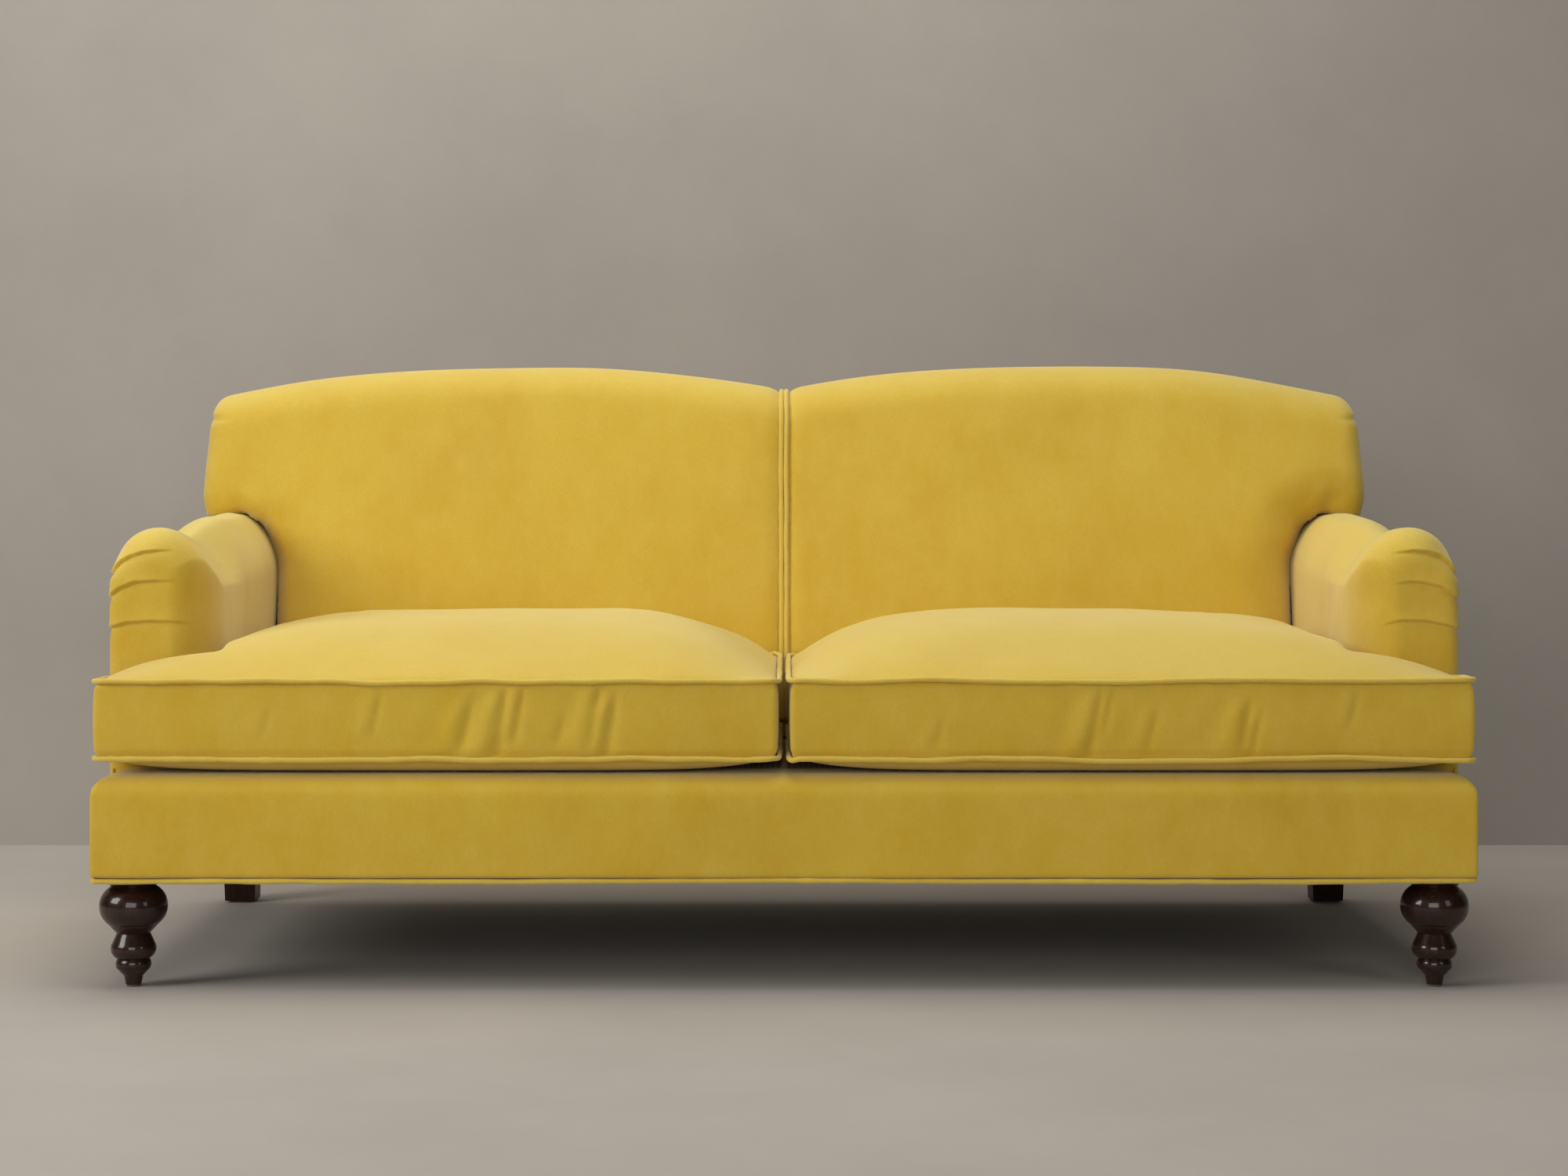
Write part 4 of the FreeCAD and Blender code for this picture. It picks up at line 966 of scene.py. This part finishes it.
class SOFA_OT_arms(Operator):
    """Upholsters the rolled arms with their three pleats"""

    bl_idname = "sofa.arms"
    bl_label = "Arms"

    DIP_Y, DIP_WIDTH, DIP_ABOVE = -0.160, 0.10, 0.53
    SQUARE, SQUARE_POWER, SQUARE_GROWTH = 0.05, 7, 0.003
    SQUARE_Z = 0.535, 0.585
    INNER_START, INNER_DEPTH = 0.838, 0.11
    INNER_FADE, INNER_FADE_Z = 0.6, (0.50, 0.61)
    INSIDE = 0.775, 0.875
    PLEATS_BEHIND, PLEAT_OUT, PLEAT_ABOVE = 0.052, 0.78, 0.50
    FOLD_WIDTH, CREASE_WIDTH, FOLD_EDGE = 0.013, 0.0045, 0.0009
    FILL_Y, FILL_FACING = (-0.05, 0.09), (0.75, 0.98)
    UNEVEN, UNEVEN_LENGTH = 0.0011, 0.14

    def execute(self, context):
        sizes = context.scene.sofa_upholstery
        rear = PANEL[0].y + self.PLEATS_BEHIND
        for name, side in SIDES.items():
            mesh = soft_copy(name + "_arm_pad", sizes.arm_voxel, 6)
            move_points(mesh, self.front_edges(points_of(mesh), side))
            refine_near_pleats(mesh, PLEATS[name], rear + 0.02)
            points, normals = points_of(mesh), normals_of(mesh)
            deep, up, outward_x = points[:, 1], points[:, 2], normals[:, 0] * side
            height = self.pleats(points, normals, name, rear, sizes)
            on_top = ease(normals[:, 2], 0.0, 0.6) * (up > self.DIP_ABOVE)
            height -= sizes.arm_dip * bell(deep, self.DIP_Y, self.DIP_WIDTH) * on_top
            shoulder = normals @ np.array([0.6 * side, 0, 0.8])
            height += sizes.arm_fill * ease(deep, *self.FILL_Y) * ease(shoulder, *self.FILL_FACING)
            shows = (normals[:, 2] > 0.2) | (outward_x < -0.4) | (normals[:, 1] < -0.3)
            height += np.where(shows, self.UNEVEN * ripple(points, self.UNEVEN_LENGTH, 5 + side), 0)
            puffed(mesh, height)
            # The arm velvet carries strong painted top light on the tops of the arms.
            painted_top_light = velvet_named(context, "arm_velvet")
            padded_piece(name + "_rolled_arm", mesh, painted_top_light, name + "_arm_pad")
        return {"FINISHED"}

    def pleats(self, points, normals, name, rear, sizes):
        """Height of the folds and depth of the creases on the front and the outer side."""
        outward_x = normals[:, 0] * SIDES[name]
        outer = (np.abs(points[:, 0]) > self.PLEAT_OUT) | (points[:, 2] > self.PLEAT_ABOVE)
        faces_out = (normals[:, 1] < -0.25) | (outward_x > 0.3) | (normals[:, 2] > 0.3)
        in_front = 1 - ease(points[:, 1], rear - 0.012, rear + 0.006)
        at_side = 1 - 0.55 * ease(outward_x, 0.55, 0.95)
        height = np.zeros(len(points))
        for above, opened in pleat_fields(points, PLEATS[name]):
            over = 0.5 + 0.5 * np.tanh(above / self.FOLD_EDGE)
            fold = sizes.pleat_rise * np.exp(-np.abs(above) / self.FOLD_WIDTH) * over * at_side
            crease = sizes.pleat_dip * np.exp(-np.abs(above) / self.CREASE_WIDTH) * (1 - over)
            height += (fold - crease) * opened * in_front * (outer & faces_out)
        return height

    def front_edges(self, points, side):
        """Squares the outer front edge below the roll, and lets the inner one flow into the side."""
        out, deep, up = np.abs(points[:, 0]), points[:, 1], points[:, 2]
        below = 1 - ease(up, *self.SQUARE_Z)
        square, power = self.SQUARE, self.SQUARE_POWER
        u = np.clip((out - (ARM[1].x - square)) / square, 0, None)
        v = np.clip((ARM[0].y + square - deep) / square, 0, None)
        grown = np.hypot(u, v) / np.maximum((u ** power + v ** power) ** (1 / power), 1e-9)
        more = np.where((u > 0) & (v > 0), (grown - 1) * below, 0)
        growth = self.SQUARE_GROWTH * below * ease(v, 0, 0.6) * ease(u, 0, 0.9)
        points[:, 0] += side * (square * u * more + growth)
        points[:, 1] -= square * v * more
        wide, depth = self.INNER_START - ARM[0].x, self.INNER_DEPTH
        u = np.clip((self.INNER_START - out) / wide, 0, None)
        v = np.clip((ARM[0].y + depth - deep) / depth, 0, None)
        less = np.where((u > 0) & (v > 0), 1 - 1 / np.maximum(np.hypot(u, v), 1), 0)
        less *= 1 - self.INNER_FADE * ease(up, *self.INNER_FADE_Z)
        points[:, 0] += side * wide * u * less
        points[:, 1] += depth * v * less
        points[:, 0] += side * splay(deep, up) * (1 - ease(out, *self.INSIDE))
        return points


# Back

def rolled_edge(corner_y, corner_z, radius, start, end, way):
    """Points over a rounded edge at the top of the back, from one angle above the level to another."""
    turn = abs(end - start)
    centre_y = corner_y - way * radius * math.tan(turn / 2)
    arc = np.linspace(start, end, 18)
    return [
        (0, centre_y + way * radius * math.cos(angle), corner_z - radius + radius * math.sin(angle))
        for angle in arc
    ]


class SOFA_OT_back(Operator):
    """Upholsters the two halves of the back and the double welt between them"""

    bl_idname = "sofa.back"
    bl_label = "Back"

    FACING = 0.2, 0.7
    TOP_ABOVE, EAR_ABOVE = 0.74, 0.60
    CROWN_OUT, CROWN_WIDTH, WIDTH_POWER = 0.01, 0.88, 0.7
    CROWN_LOW, CROWN_HEIGHT, HEIGHT_POWER = 0.40, 0.44, 0.8
    SEAM_WIDTH = 0.030
    UNEVEN, UNEVEN_LENGTH = 0.0013, 0.24

    # The two halves aren't quite alike
    ARM_FADE = {"left": 0.75, "right": 0.25}
    TOP_RISE = {"left": (0.72, 0.004), "right": (0.64, 0.009)}
    CORNER_SHIFT = {"left": -0.001, "right": 0.004}
    RISE_WIDTH, RISE_Z = 0.16, (0.72, 0.82)
    CORNER_Z, CORNER_OUT = (0.770, 0.812), (0.80, 0.90)

    # Each ear has a tuck below its corner, a crease above the arm and a foot that turns in
    TUCK_Z, TUCK_PULL, TUCK_PULL_WIDTH, TUCK_PULL_OUT = 0.776, 0.0012, 0.006, (0.872, 0.892)
    TUCK_DEPTH, TUCK_WIDTH, TUCK_OUT = 0.0018, 0.0045, (0.862, 0.890)
    CREASE_FOOT, CREASE_HEAD = (0.846, 0.626), (0.872, 0.672)
    CREASE_DEPTH, CREASE_WIDTH = 0.004, 0.010
    LIP_RISE, LIP_AWAY, LIP_WIDTH = 0.0025, -0.020, 0.014
    FOOT_PULL, FOOT_Z, FOOT_OUT = 0.007, (0.660, 0.628), (0.86, 0.90)
    SAG, SAG_Z, SAG_OUT = 0.005, (0.665, 0.635), (0.84, 0.88)

    # Beside an arm
    FACE_DEPTH, FACE_FADE = 0.050, 0.035
    NEAR_ARM_OUT, NEAR_ARM_BELOW = 0.66, 0.72
    ARM_WIDTH, CREVICE_WIDTH = 0.080, 0.018
    FADE_Z, CREVICE_Z = (0.57, 0.66), (0.60, 0.64)
    FOLLOW_OUT, FOLLOW_Z = (0.68, 0.775), (0.58, 0.64)

    # The double welt
    WELT, WELT_OFFSET, WELT_SINK, WELT_SWAY = 0.0078, 0.0040, 0.0022, 0.0005
    WELT_STEP, BELOW_TOP, ABOVE_PANEL = 0.005, 0.0035, 0.003
    FACE_ROUNDING, REAR_ROUNDING = 0.075, 0.060

    def execute(self, context):
        sizes = context.scene.sofa_upholstery
        for name in SIDES:
            mesh = soft_copy(name + "_inside_back", sizes.voxel, 9)
            move_points(mesh, self.shaped(mesh, name, sizes))
            # The back takes the seat velvet, with its painted top light on faces that point up.
            padded_piece(
                name + "_back_half", mesh, velvet_named(context, "seat_velvet"), name + "_inside_back"
            )
        self.double_welt(context)
        return {"FINISHED"}

    def shaped(self, mesh, name, sizes):
        """Crowns a half of the back, and shapes it at the seam, the arm and the ear."""
        points, normals = points_of(mesh), normals_of(mesh)
        side = SIDES[name]
        out, up = np.abs(points[:, 0]), points[:, 2]
        on_face = ease(-normals[:, 1], *self.FACING)
        on_top = ease(normals[:, 2], *self.FACING) * (up > self.TOP_ABOVE)
        on_rear = ease(normals[:, 1], *self.FACING) * (up > self.TOP_ABOVE)
        shows = np.clip(on_face + on_top, 0, 1)
        across = np.clip((out - self.CROWN_OUT) / self.CROWN_WIDTH, 0, 1)
        tall = np.clip((up - self.CROWN_LOW) / self.CROWN_HEIGHT, 0, 1)
        swell = sizes.back_crown * np.sin(math.pi * across) ** self.WIDTH_POWER
        height = swell * np.sin(math.pi * tall) ** self.HEIGHT_POWER * on_face
        near_seam = np.clip(1 - out / self.SEAM_WIDTH, 0, 1) ** 2
        height -= sizes.seam_roll * near_seam * np.clip(shows + on_rear, 0, 1)
        height += self.ear_tucks(out, up, on_face)
        height += np.where(shows > 0.3, self.UNEVEN * ripple(points, self.UNEVEN_LENGTH, 20 + side), 0)
        moved = points + normals * height[:, None]
        self.beside_arm(moved, points, name, sizes)
        place, rise = self.TOP_RISE[name]
        moved[:, 2] += rise * bell(out, place, self.RISE_WIDTH) * ease(up, *self.RISE_Z)
        corner = ease(up, *self.CORNER_Z) * ease(out, *self.CORNER_OUT)
        moved[:, 0] -= side * self.CORNER_SHIFT[name] * corner
        tuck = bell(up, self.TUCK_Z, self.TUCK_PULL_WIDTH) * ease(out, *self.TUCK_PULL_OUT)
        moved[:, 0] -= side * self.TUCK_PULL * tuck
        foot = ease(up, *self.FOOT_Z) * ease(out, *self.FOOT_OUT) * (up > self.EAR_ABOVE)
        moved[:, 0] -= side * self.FOOT_PULL * foot
        moved[:, 2] -= self.SAG * ease(up, *self.SAG_Z) * ease(out, *self.SAG_OUT) * (up > self.EAR_ABOVE)
        return moved

    def beside_arm(self, moved, points, name, sizes):
        """Lets the face fall away towards the arm, down to a crevice, and follow the arm outwards."""
        out, deep, up = np.abs(points[:, 0]), points[:, 1], points[:, 2]
        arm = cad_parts[name + "_arm_pad"].data
        tree = BVHTree.FromPolygons(
            [vertex.co for vertex in arm.vertices], [tuple(face.vertices) for face in arm.polygons]
        )
        front = ease(face_y(up) + self.FACE_DEPTH - deep, 0.0, self.FACE_FADE)
        near_arm = (front > 0) & (out > self.NEAR_ARM_OUT) & (up < self.NEAR_ARM_BELOW)
        gap = np.full(len(points), 1.0)
        for place in np.nonzero(near_arm)[0]:
            gap[place] = tree.find_nearest(Vector(points[place]))[3]
        low_down = 1 - self.ARM_FADE[name] * ease(up, *self.FADE_Z)
        moved[:, 1] += sizes.arm_roll * np.clip(1 - gap / self.ARM_WIDTH, 0, 1) ** 2 * front * low_down
        crevice = np.clip(1 - gap / self.CREVICE_WIDTH, 0, 1) * (1 - ease(up, *self.CREVICE_Z))
        moved[:, 1] += sizes.crevice * crevice * front
        inside = ease(out, *self.FOLLOW_OUT) * (1 - ease(out, *SOFA_OT_arms.INSIDE))
        beside = inside * (1 - ease(up, *self.FOLLOW_Z))
        moved[:, 0] += SIDES[name] * splay(deep, up) * beside

    def ear_tucks(self, out, up, on_face):
        """Creases where the cloth turns under at the arm and is folded at the corner."""
        start, end = np.array(self.CREASE_FOOT), np.array(self.CREASE_HEAD)
        run = end - start
        way = ((out - start[0]) * run[0] + (up - start[1]) * run[1]) / run.dot(run)
        off = ((out - start[0]) * run[1] - (up - start[1]) * run[0]) / np.linalg.norm(run)
        fade = (1 - ease(way, 0.1, 1.0)) * ease(way, -0.6, -0.2)
        crease = -self.CREASE_DEPTH * bell(off, 0, self.CREASE_WIDTH) * fade
        lip = self.LIP_RISE * bell(off, self.LIP_AWAY, self.LIP_WIDTH) * fade
        tuck = -self.TUCK_DEPTH * bell(up, self.TUCK_Z, self.TUCK_WIDTH) * ease(out, *self.TUCK_OUT)
        return (crease + lip) * on_face + tuck

    def double_welt(self, context):
        low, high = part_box("back_double_welt")
        top = high.z - self.BELOW_TOP
        end = PANEL_TOP + self.ABOVE_PANEL
        path = [(0, face_y(low.z), low.z)]
        path += rolled_edge(face_y(top), top, self.FACE_ROUNDING, math.atan(FACE_SLOPE), math.pi / 2, -1)
        path += rolled_edge(rear_y(top), top, self.REAR_ROUNDING, math.pi / 2, -math.atan(REAR_SLOPE), 1)
        path.append((0, rear_y(end), end))
        path = even_path(np.array(path), self.WELT_STEP, False)
        path[:, 1:] += self.settle(path)
        joined = bmesh.new()
        for way in (-1, 1):
            line = path.copy()
            line[:, 0] += way * self.WELT_OFFSET + self.WELT_SWAY * ripple(path, 0.09, 71 + way)
            joined.from_mesh(piping(line, self.WELT, False, 80 + way, (1, 0, 0), 0.05))
        mesh = bpy.data.meshes.new("double_welt")
        joined.to_mesh(mesh)
        joined.free()
        new_piece("double_welt", mesh, velvet_named(context, "welt_velvet"), stands_for=["back_double_welt"])

    def settle(self, path):
        """Sinks the welt a little below the rolled edges of the two halves."""
        along = np.gradient(path[:, 1:], axis=0)
        along /= np.linalg.norm(along, axis=1)[:, None]
        inward = np.column_stack([along[:, 1], -along[:, 0]])
        return inward * self.WELT_SINK


# Base and outside panels

class SOFA_OT_base(Operator):
    """Upholsters the front border and the welt round the bottom of the base"""

    bl_idname = "sofa.base"
    bl_label = "Base"

    def execute(self, context):
        sizes = context.scene.sofa_upholstery
        mesh = soft_copy("front_border", sizes.arm_voxel, 2)
        points, normals = points_of(mesh), normals_of(mesh)
        on_front = ease(-normals[:, 1], 0.3, 0.8) * (points[:, 1] < BORDER[0].y + 0.03)
        stretched = points * np.array([1.0, 1.0, 0.45])
        height = on_front * (0.0010 * ripple(stretched, 0.13, 3) + 0.0012)
        puffed(mesh, height)
        velvet_cover = velvet_named(context, "brushed_velvet")
        padded_piece("front_border_velvet", mesh, velvet_cover, "front_border")
        self.welt(context)
        return {"FINISHED"}

    def welt(self, context):
        low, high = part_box("base_welt")
        radius = (high.z - low.z) / 2
        turn = 0.008
        corners = [
            (low.x, low.y, 1, 1), (high.x, low.y, -1, 1), (high.x, high.y, -1, -1), (low.x, high.y, 1, -1),
        ]
        path = []
        for step, (x, y, way_x, way_y) in enumerate(corners):
            arc = []
            for angle in np.linspace(0, math.pi / 2, 7):
                reach = turn - (turn - radius) * math.cos(angle), turn - (turn - radius) * math.sin(angle)
                arc.append((x + way_x * reach[0], y + way_y * reach[1], low.z + radius))
            path += arc if step % 2 == 0 else arc[::-1]
        path = even_path(np.array(path), 0.005, True)
        path[:, 2] += 0.0011 * ripple(path, 0.35, 91) + 0.0004 * ripple(path, 0.09, 92)
        mesh = piping(path, 2 * radius * 1.06, True, 93)
        new_piece("base_welt_piping", mesh, velvet_named(context, "welt_velvet"), stands_for=["base_welt"])


class SOFA_OT_outside_panels(Operator):
    """Covers the outside of the arms and of the back"""

    bl_idname = "sofa.outside_panels"
    bl_label = "Outside panels"

    PUFF_REACH, UNEVEN, UNEVEN_LENGTH = 0.06, 0.0008, 0.2
    RIM, INSET, ROW_PITCH = np.array([0, 0.0012, 0.003, 0.0055, 0.009]), 0.014, 0.012
    EDGE_ROLL, THICK = 0.006, 0.008
    NARROWING, NARROW_ABOVE = 0.0064, 0.630

    def execute(self, context):
        sizes = context.scene.sofa_upholstery
        for name, side in SIDES.items():
            mesh = soft_copy(name + "_outside_arm", sizes.arm_voxel, 3)
            points, normals = points_of(mesh), normals_of(mesh)
            outside = ease(normals[:, 0] * side, 0.3, 0.9)
            low, high = points.min(axis=0), points.max(axis=0)
            edge = np.minimum(points - low, high - points)[:, 1:].min(axis=1)
            height = outside * sizes.puff * rising(edge, self.PUFF_REACH)
            height += outside * self.UNEVEN * ripple(points, self.UNEVEN_LENGTH, 15)
            puffed(mesh, height)
            self.finish(context, name + "_outside_arm", lightened(mesh, 0.45))
        self.finish(context, "outside_back", self.back_panel(sizes))
        return {"FINISHED"}

    def finish(self, context, node, mesh):
        padded_piece(node + "_velvet", mesh, velvet_named(context, "brushed_velvet"), node)

    def back_panel(self, sizes):
        """The outside back: one padded panel that bends where the back begins to lean."""
        low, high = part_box("outside_back")
        half_width, bottom, top = high.x, low.z, high.z
        rim, inset = self.RIM, self.INSET
        across = stepped([-half_width + inset, half_width - inset], inset)
        across = np.concatenate([rim - half_width, across, half_width - rim[::-1]])
        up = stepped([bottom + inset, REAR_BEND_Z, top - inset], self.ROW_PITCH)
        up = np.concatenate([bottom + rim, up, top - rim[::-1]])
        x, z = [each.ravel() for each in np.meshgrid(across, up)]
        edge = np.minimum(half_width - np.abs(x), np.minimum(z - bottom, top - z))
        high_up = np.clip((z - self.NARROW_ABOVE) / (top - self.NARROW_ABOVE), 0, 1)
        x = x * (1 - self.NARROWING / half_width * high_up)
        on_rim = 1 - np.clip(edge / rim[-1], 0, 1)
        rolled = self.EDGE_ROLL * (1 - np.sqrt(np.clip(1 - on_rim ** 2, 0, 1)))
        outer = np.column_stack([x, rear_y(z) - rolled, z])
        uneven = self.UNEVEN * ripple(outer, self.UNEVEN_LENGTH, 15)
        outer[:, 1] += sizes.puff * rising(edge, self.PUFF_REACH) + uneven
        inner = np.column_stack([x, rear_y(z) - self.THICK, z])
        columns, rows = len(across), len(up)
        count = columns * rows
        faces = []
        for row in range(rows - 1):
            for column in range(columns - 1):
                corner = row * columns + column
                faces.append((corner, corner + 1, corner + columns + 1, corner + columns))
        faces += [tuple(place + count for place in reversed(face)) for face in faces]
        border = list(range(columns - 1))
        border += [row * columns + columns - 1 for row in range(rows - 1)]
        border += [(rows - 1) * columns + column for column in range(columns - 1, 0, -1)]
        border += [row * columns for row in range(rows - 1, 0, -1)]
        for here, there in zip(border, border[1:] + border[:1]):
            faces.append((here, there, there + count, here + count))
        mesh = bpy.data.meshes.new("outside_back")
        mesh.from_pydata(np.vstack([outer, inner]).tolist(), [], faces)
        return outward(mesh)


class SOFA_OT_deck(Operator):
    """Covers the deck under the cushions with plain cloth"""

    bl_idname = "sofa.deck"
    bl_label = "Seat deck"

    def execute(self, context):
        cloth = finish_named("deck_weave", woven_cloth, (0.36, 0.21, 0.035), (0.62, 0.41, 0.075), 0.0012)
        mesh = soft_copy("seat_deck", 0.007, 3)
        points, normals = points_of(mesh), normals_of(mesh)
        up = ease(normals[:, 2], 0.5, 0.9)
        hollow = -0.0012 - 0.0008 * ripple(points, 0.25, 8)
        points[:, 2] += up * np.minimum(hollow, -0.0002)
        move_points(mesh, points)
        padded_piece("seat_deck_cloth", mesh, cloth, "seat_deck")
        return {"FINISHED"}


# Feet, frame and underside

class SOFA_OT_feet(Operator):
    """Stains and polishes the turned feet and the rear legs, and puts felt under them"""

    bl_idname = "sofa.feet"
    bl_label = "Feet"

    def execute(self, context):
        gloss = finish_named("espresso_gloss", polished_wood, context.scene.sofa_timber, 0.6)
        satin = finish_named("espresso_satin", polished_wood, context.scene.sofa_timber, 0.03)
        grey = finish_named("glide_felt", felt, (0.05, 0.045, 0.04), (0.12, 0.11, 0.10))
        for name in SIDES:
            dress(name + "_front_foot", gloss)
            dress(name + "_rear_leg", satin)
            ease_edges(name + "_rear_leg", 0.0025)
        dress("foot_glides", grey)
        return {"FINISHED"}


class SOFA_OT_hidden_frame(Operator):
    """Finishes the hardwood frame, the springs and the fixings inside"""

    bl_idname = "sofa.hidden_frame"
    bl_label = "Frame and springs"

    RUNS = {
        "x": ["front_seat_rail", "rear_seat_rail", "back_crest_rail", "lower_back_rails", "corner_blocks"],
        "y": ["left_side_rail", "right_side_rail", "seat_stretchers", "left_arm_top_rail",
              "right_arm_top_rail", "left_arm_tack_rail", "right_arm_tack_rail"],
        "z": ["left_arm_stump", "right_arm_stump", "left_back_post", "right_back_post", "centre_back_post"],
    }

    def execute(self, context):
        timber = context.scene.sofa_timber
        for run, nodes in self.RUNS.items():
            wood = finish_named("beech_along_" + run, beech_wood, timber, run)
            for node in nodes:
                dress(node, wood)
                ease_edges(node, 0.0015)
        spring = finish_named("tempered_wire", metal, (0.10, 0.10, 0.105), (0.26, 0.26, 0.27), 0.35)
        plated = finish_named("zinc_plate", metal, (0.42, 0.42, 0.41), (0.68, 0.68, 0.66), 0.28)
        for node in ("seat_springs", "back_springs"):
            dress(node, spring)
        for node in ("seat_spring_clips", "back_spring_clips", "foot_hanger_bolts", "foot_lock_nuts"):
            dress(node, plated)
        self.dust_cover()
        return {"FINISHED"}

    def dust_cover(self):
        cambric = finish_named(
            "black_cambric", woven_cloth, (0.008, 0.008, 0.009), (0.035, 0.035, 0.037), 0.0015
        )
        cover = dress("dust_cover", cambric)


# Stage

class SOFA_OT_stage(Operator):
    """Sets the floor, the backdrop, the lights and the camera"""

    bl_idname = "sofa.stage"
    bl_label = "Stage"

    LIGHTS = {
        "key": ((-3.4, -1.9, 1.9), (1.6, 1.6)),
        "front": ((-0.5, -5.2, 1.5), (3.0, 2.0)),
        "top": ((-0.3, -0.3, 3.2), (3.2, 1.8)),
        "side": ((2.9, -3.2, 1.6), (1.0, 1.6)),
        "rear": ((0.2, 2.4, 4.6), (2.4, 1.0)),
    }
    LIT_POINT = (0, 0, 0.45)

    def execute(self, context):
        stage = context.scene.sofa_stage
        far, back, high = 30, stage.wall_y, 12
        floor = self.plane("floor", [(-far, -far, 0), (far, -far, 0), (far, far, 0), (-far, far, 0)])
        floor.data.materials.append(studio_paint("pale_floor", tuple(stage.floor)))
        upright = [(-far, back, 0), (far, back, 0), (far, back, high), (-far, back, high)]
        wall = self.plane("backdrop", upright)
        wall.visible_shadow = False
        wall.data.materials.append(studio_paint("pale_backdrop", tuple(stage.wall), True))
        for name, (place, size) in self.LIGHTS.items():
            self.light(name + "_light", place, size, getattr(stage, name))
        world = bpy.data.worlds.new("soft_room")
        world.use_nodes = True
        surround = world.node_tree.nodes["Background"]
        surround.inputs["Color"].default_value = (1.0, 0.97, 0.93, 1)
        surround.inputs["Strength"].default_value = stage.ambient
        context.scene.world = world
        context.scene.view_settings.view_transform = "Standard"
        self.camera(context, stage)
        return {"FINISHED"}

    def plane(self, name, corners):
        mesh = bpy.data.meshes.new(name)
        mesh.from_pydata(corners, [], [(0, 1, 2, 3)])
        made = bpy.data.objects.new(name, mesh)
        bpy.context.scene.collection.objects.link(made)
        return made

    def light(self, name, place, size, watts):
        lamp = bpy.data.lights.new(name, "AREA")
        lamp.shape = "RECTANGLE"
        lamp.size, lamp.size_y = size
        lamp.energy = watts
        lamp.color = (1.0, 0.98, 0.95)
        made = bpy.data.objects.new(name, lamp)
        made.location = place
        aim = Vector(self.LIT_POINT) - Vector(place)
        made.rotation_euler = aim.to_track_quat("-Z", "Y").to_euler()
        bpy.context.scene.collection.objects.link(made)

    def camera(self, context, stage):
        lens = bpy.data.cameras.new("camera")
        lens.lens = stage.lens
        lens.shift_y = stage.shift
        lens.sensor_fit = "HORIZONTAL"
        made = bpy.data.objects.new("camera", lens)
        made.location = (0, -stage.camera_y, stage.camera_z)
        made.rotation_euler = (math.pi / 2, 0, 0)
        context.scene.collection.objects.link(made)
        context.scene.camera = made


GROUPS = {
    "sofa_velvet": SofaVelvet,
    "sofa_cushions": SofaCushions,
    "sofa_upholstery": SofaUpholstery,
    "sofa_timber": SofaTimber,
    "sofa_stage": SofaStage,
}
OPERATORS = (
    SOFA_OT_stage,
    SOFA_OT_feet,
    SOFA_OT_hidden_frame,
    SOFA_OT_deck,
    SOFA_OT_base,
    SOFA_OT_outside_panels,
    SOFA_OT_arms,
    SOFA_OT_back,
    SOFA_OT_seat_cushions,
    SOFA_OT_zips,
)


class SOFA_PT_panel(Panel):
    """Lists the sofa's pieces and the sizes behind them"""

    bl_idname = "SOFA_PT_panel"
    bl_label = "Roll arm sofa"
    bl_space_type = "VIEW_3D"
    bl_region_type = "UI"
    bl_category = "Sofa"

    def draw(self, context):
        for operator in OPERATORS:
            self.layout.operator(operator.bl_idname)
        for name, group in GROUPS.items():
            box = self.layout.box()
            box.label(text=group.__doc__)
            for field in group.__annotations__:
                box.prop(getattr(context.scene, name), field)


def register():
    for group in GROUPS.values():
        bpy.utils.register_class(group)
    for name, group in GROUPS.items():
        setattr(bpy.types.Scene, name, PointerProperty(type=group))
    for operator in OPERATORS:
        bpy.utils.register_class(operator)
    bpy.utils.register_class(SOFA_PT_panel)


def unregister():
    bpy.utils.unregister_class(SOFA_PT_panel)
    for operator in reversed(OPERATORS):
        bpy.utils.unregister_class(operator)
    for name, group in GROUPS.items():
        delattr(bpy.types.Scene, name)
        bpy.utils.unregister_class(group)


def main():
    register()
    bpy.ops.sofa.stage()
    bpy.ops.sofa.feet()
    bpy.ops.sofa.hidden_frame()
    bpy.ops.sofa.deck()
    bpy.ops.sofa.base()
    bpy.ops.sofa.outside_panels()
    bpy.ops.sofa.arms()
    bpy.ops.sofa.back()
    bpy.ops.sofa.seat_cushions()
    bpy.ops.sofa.zips()


if __name__ == "__main__":
    main()
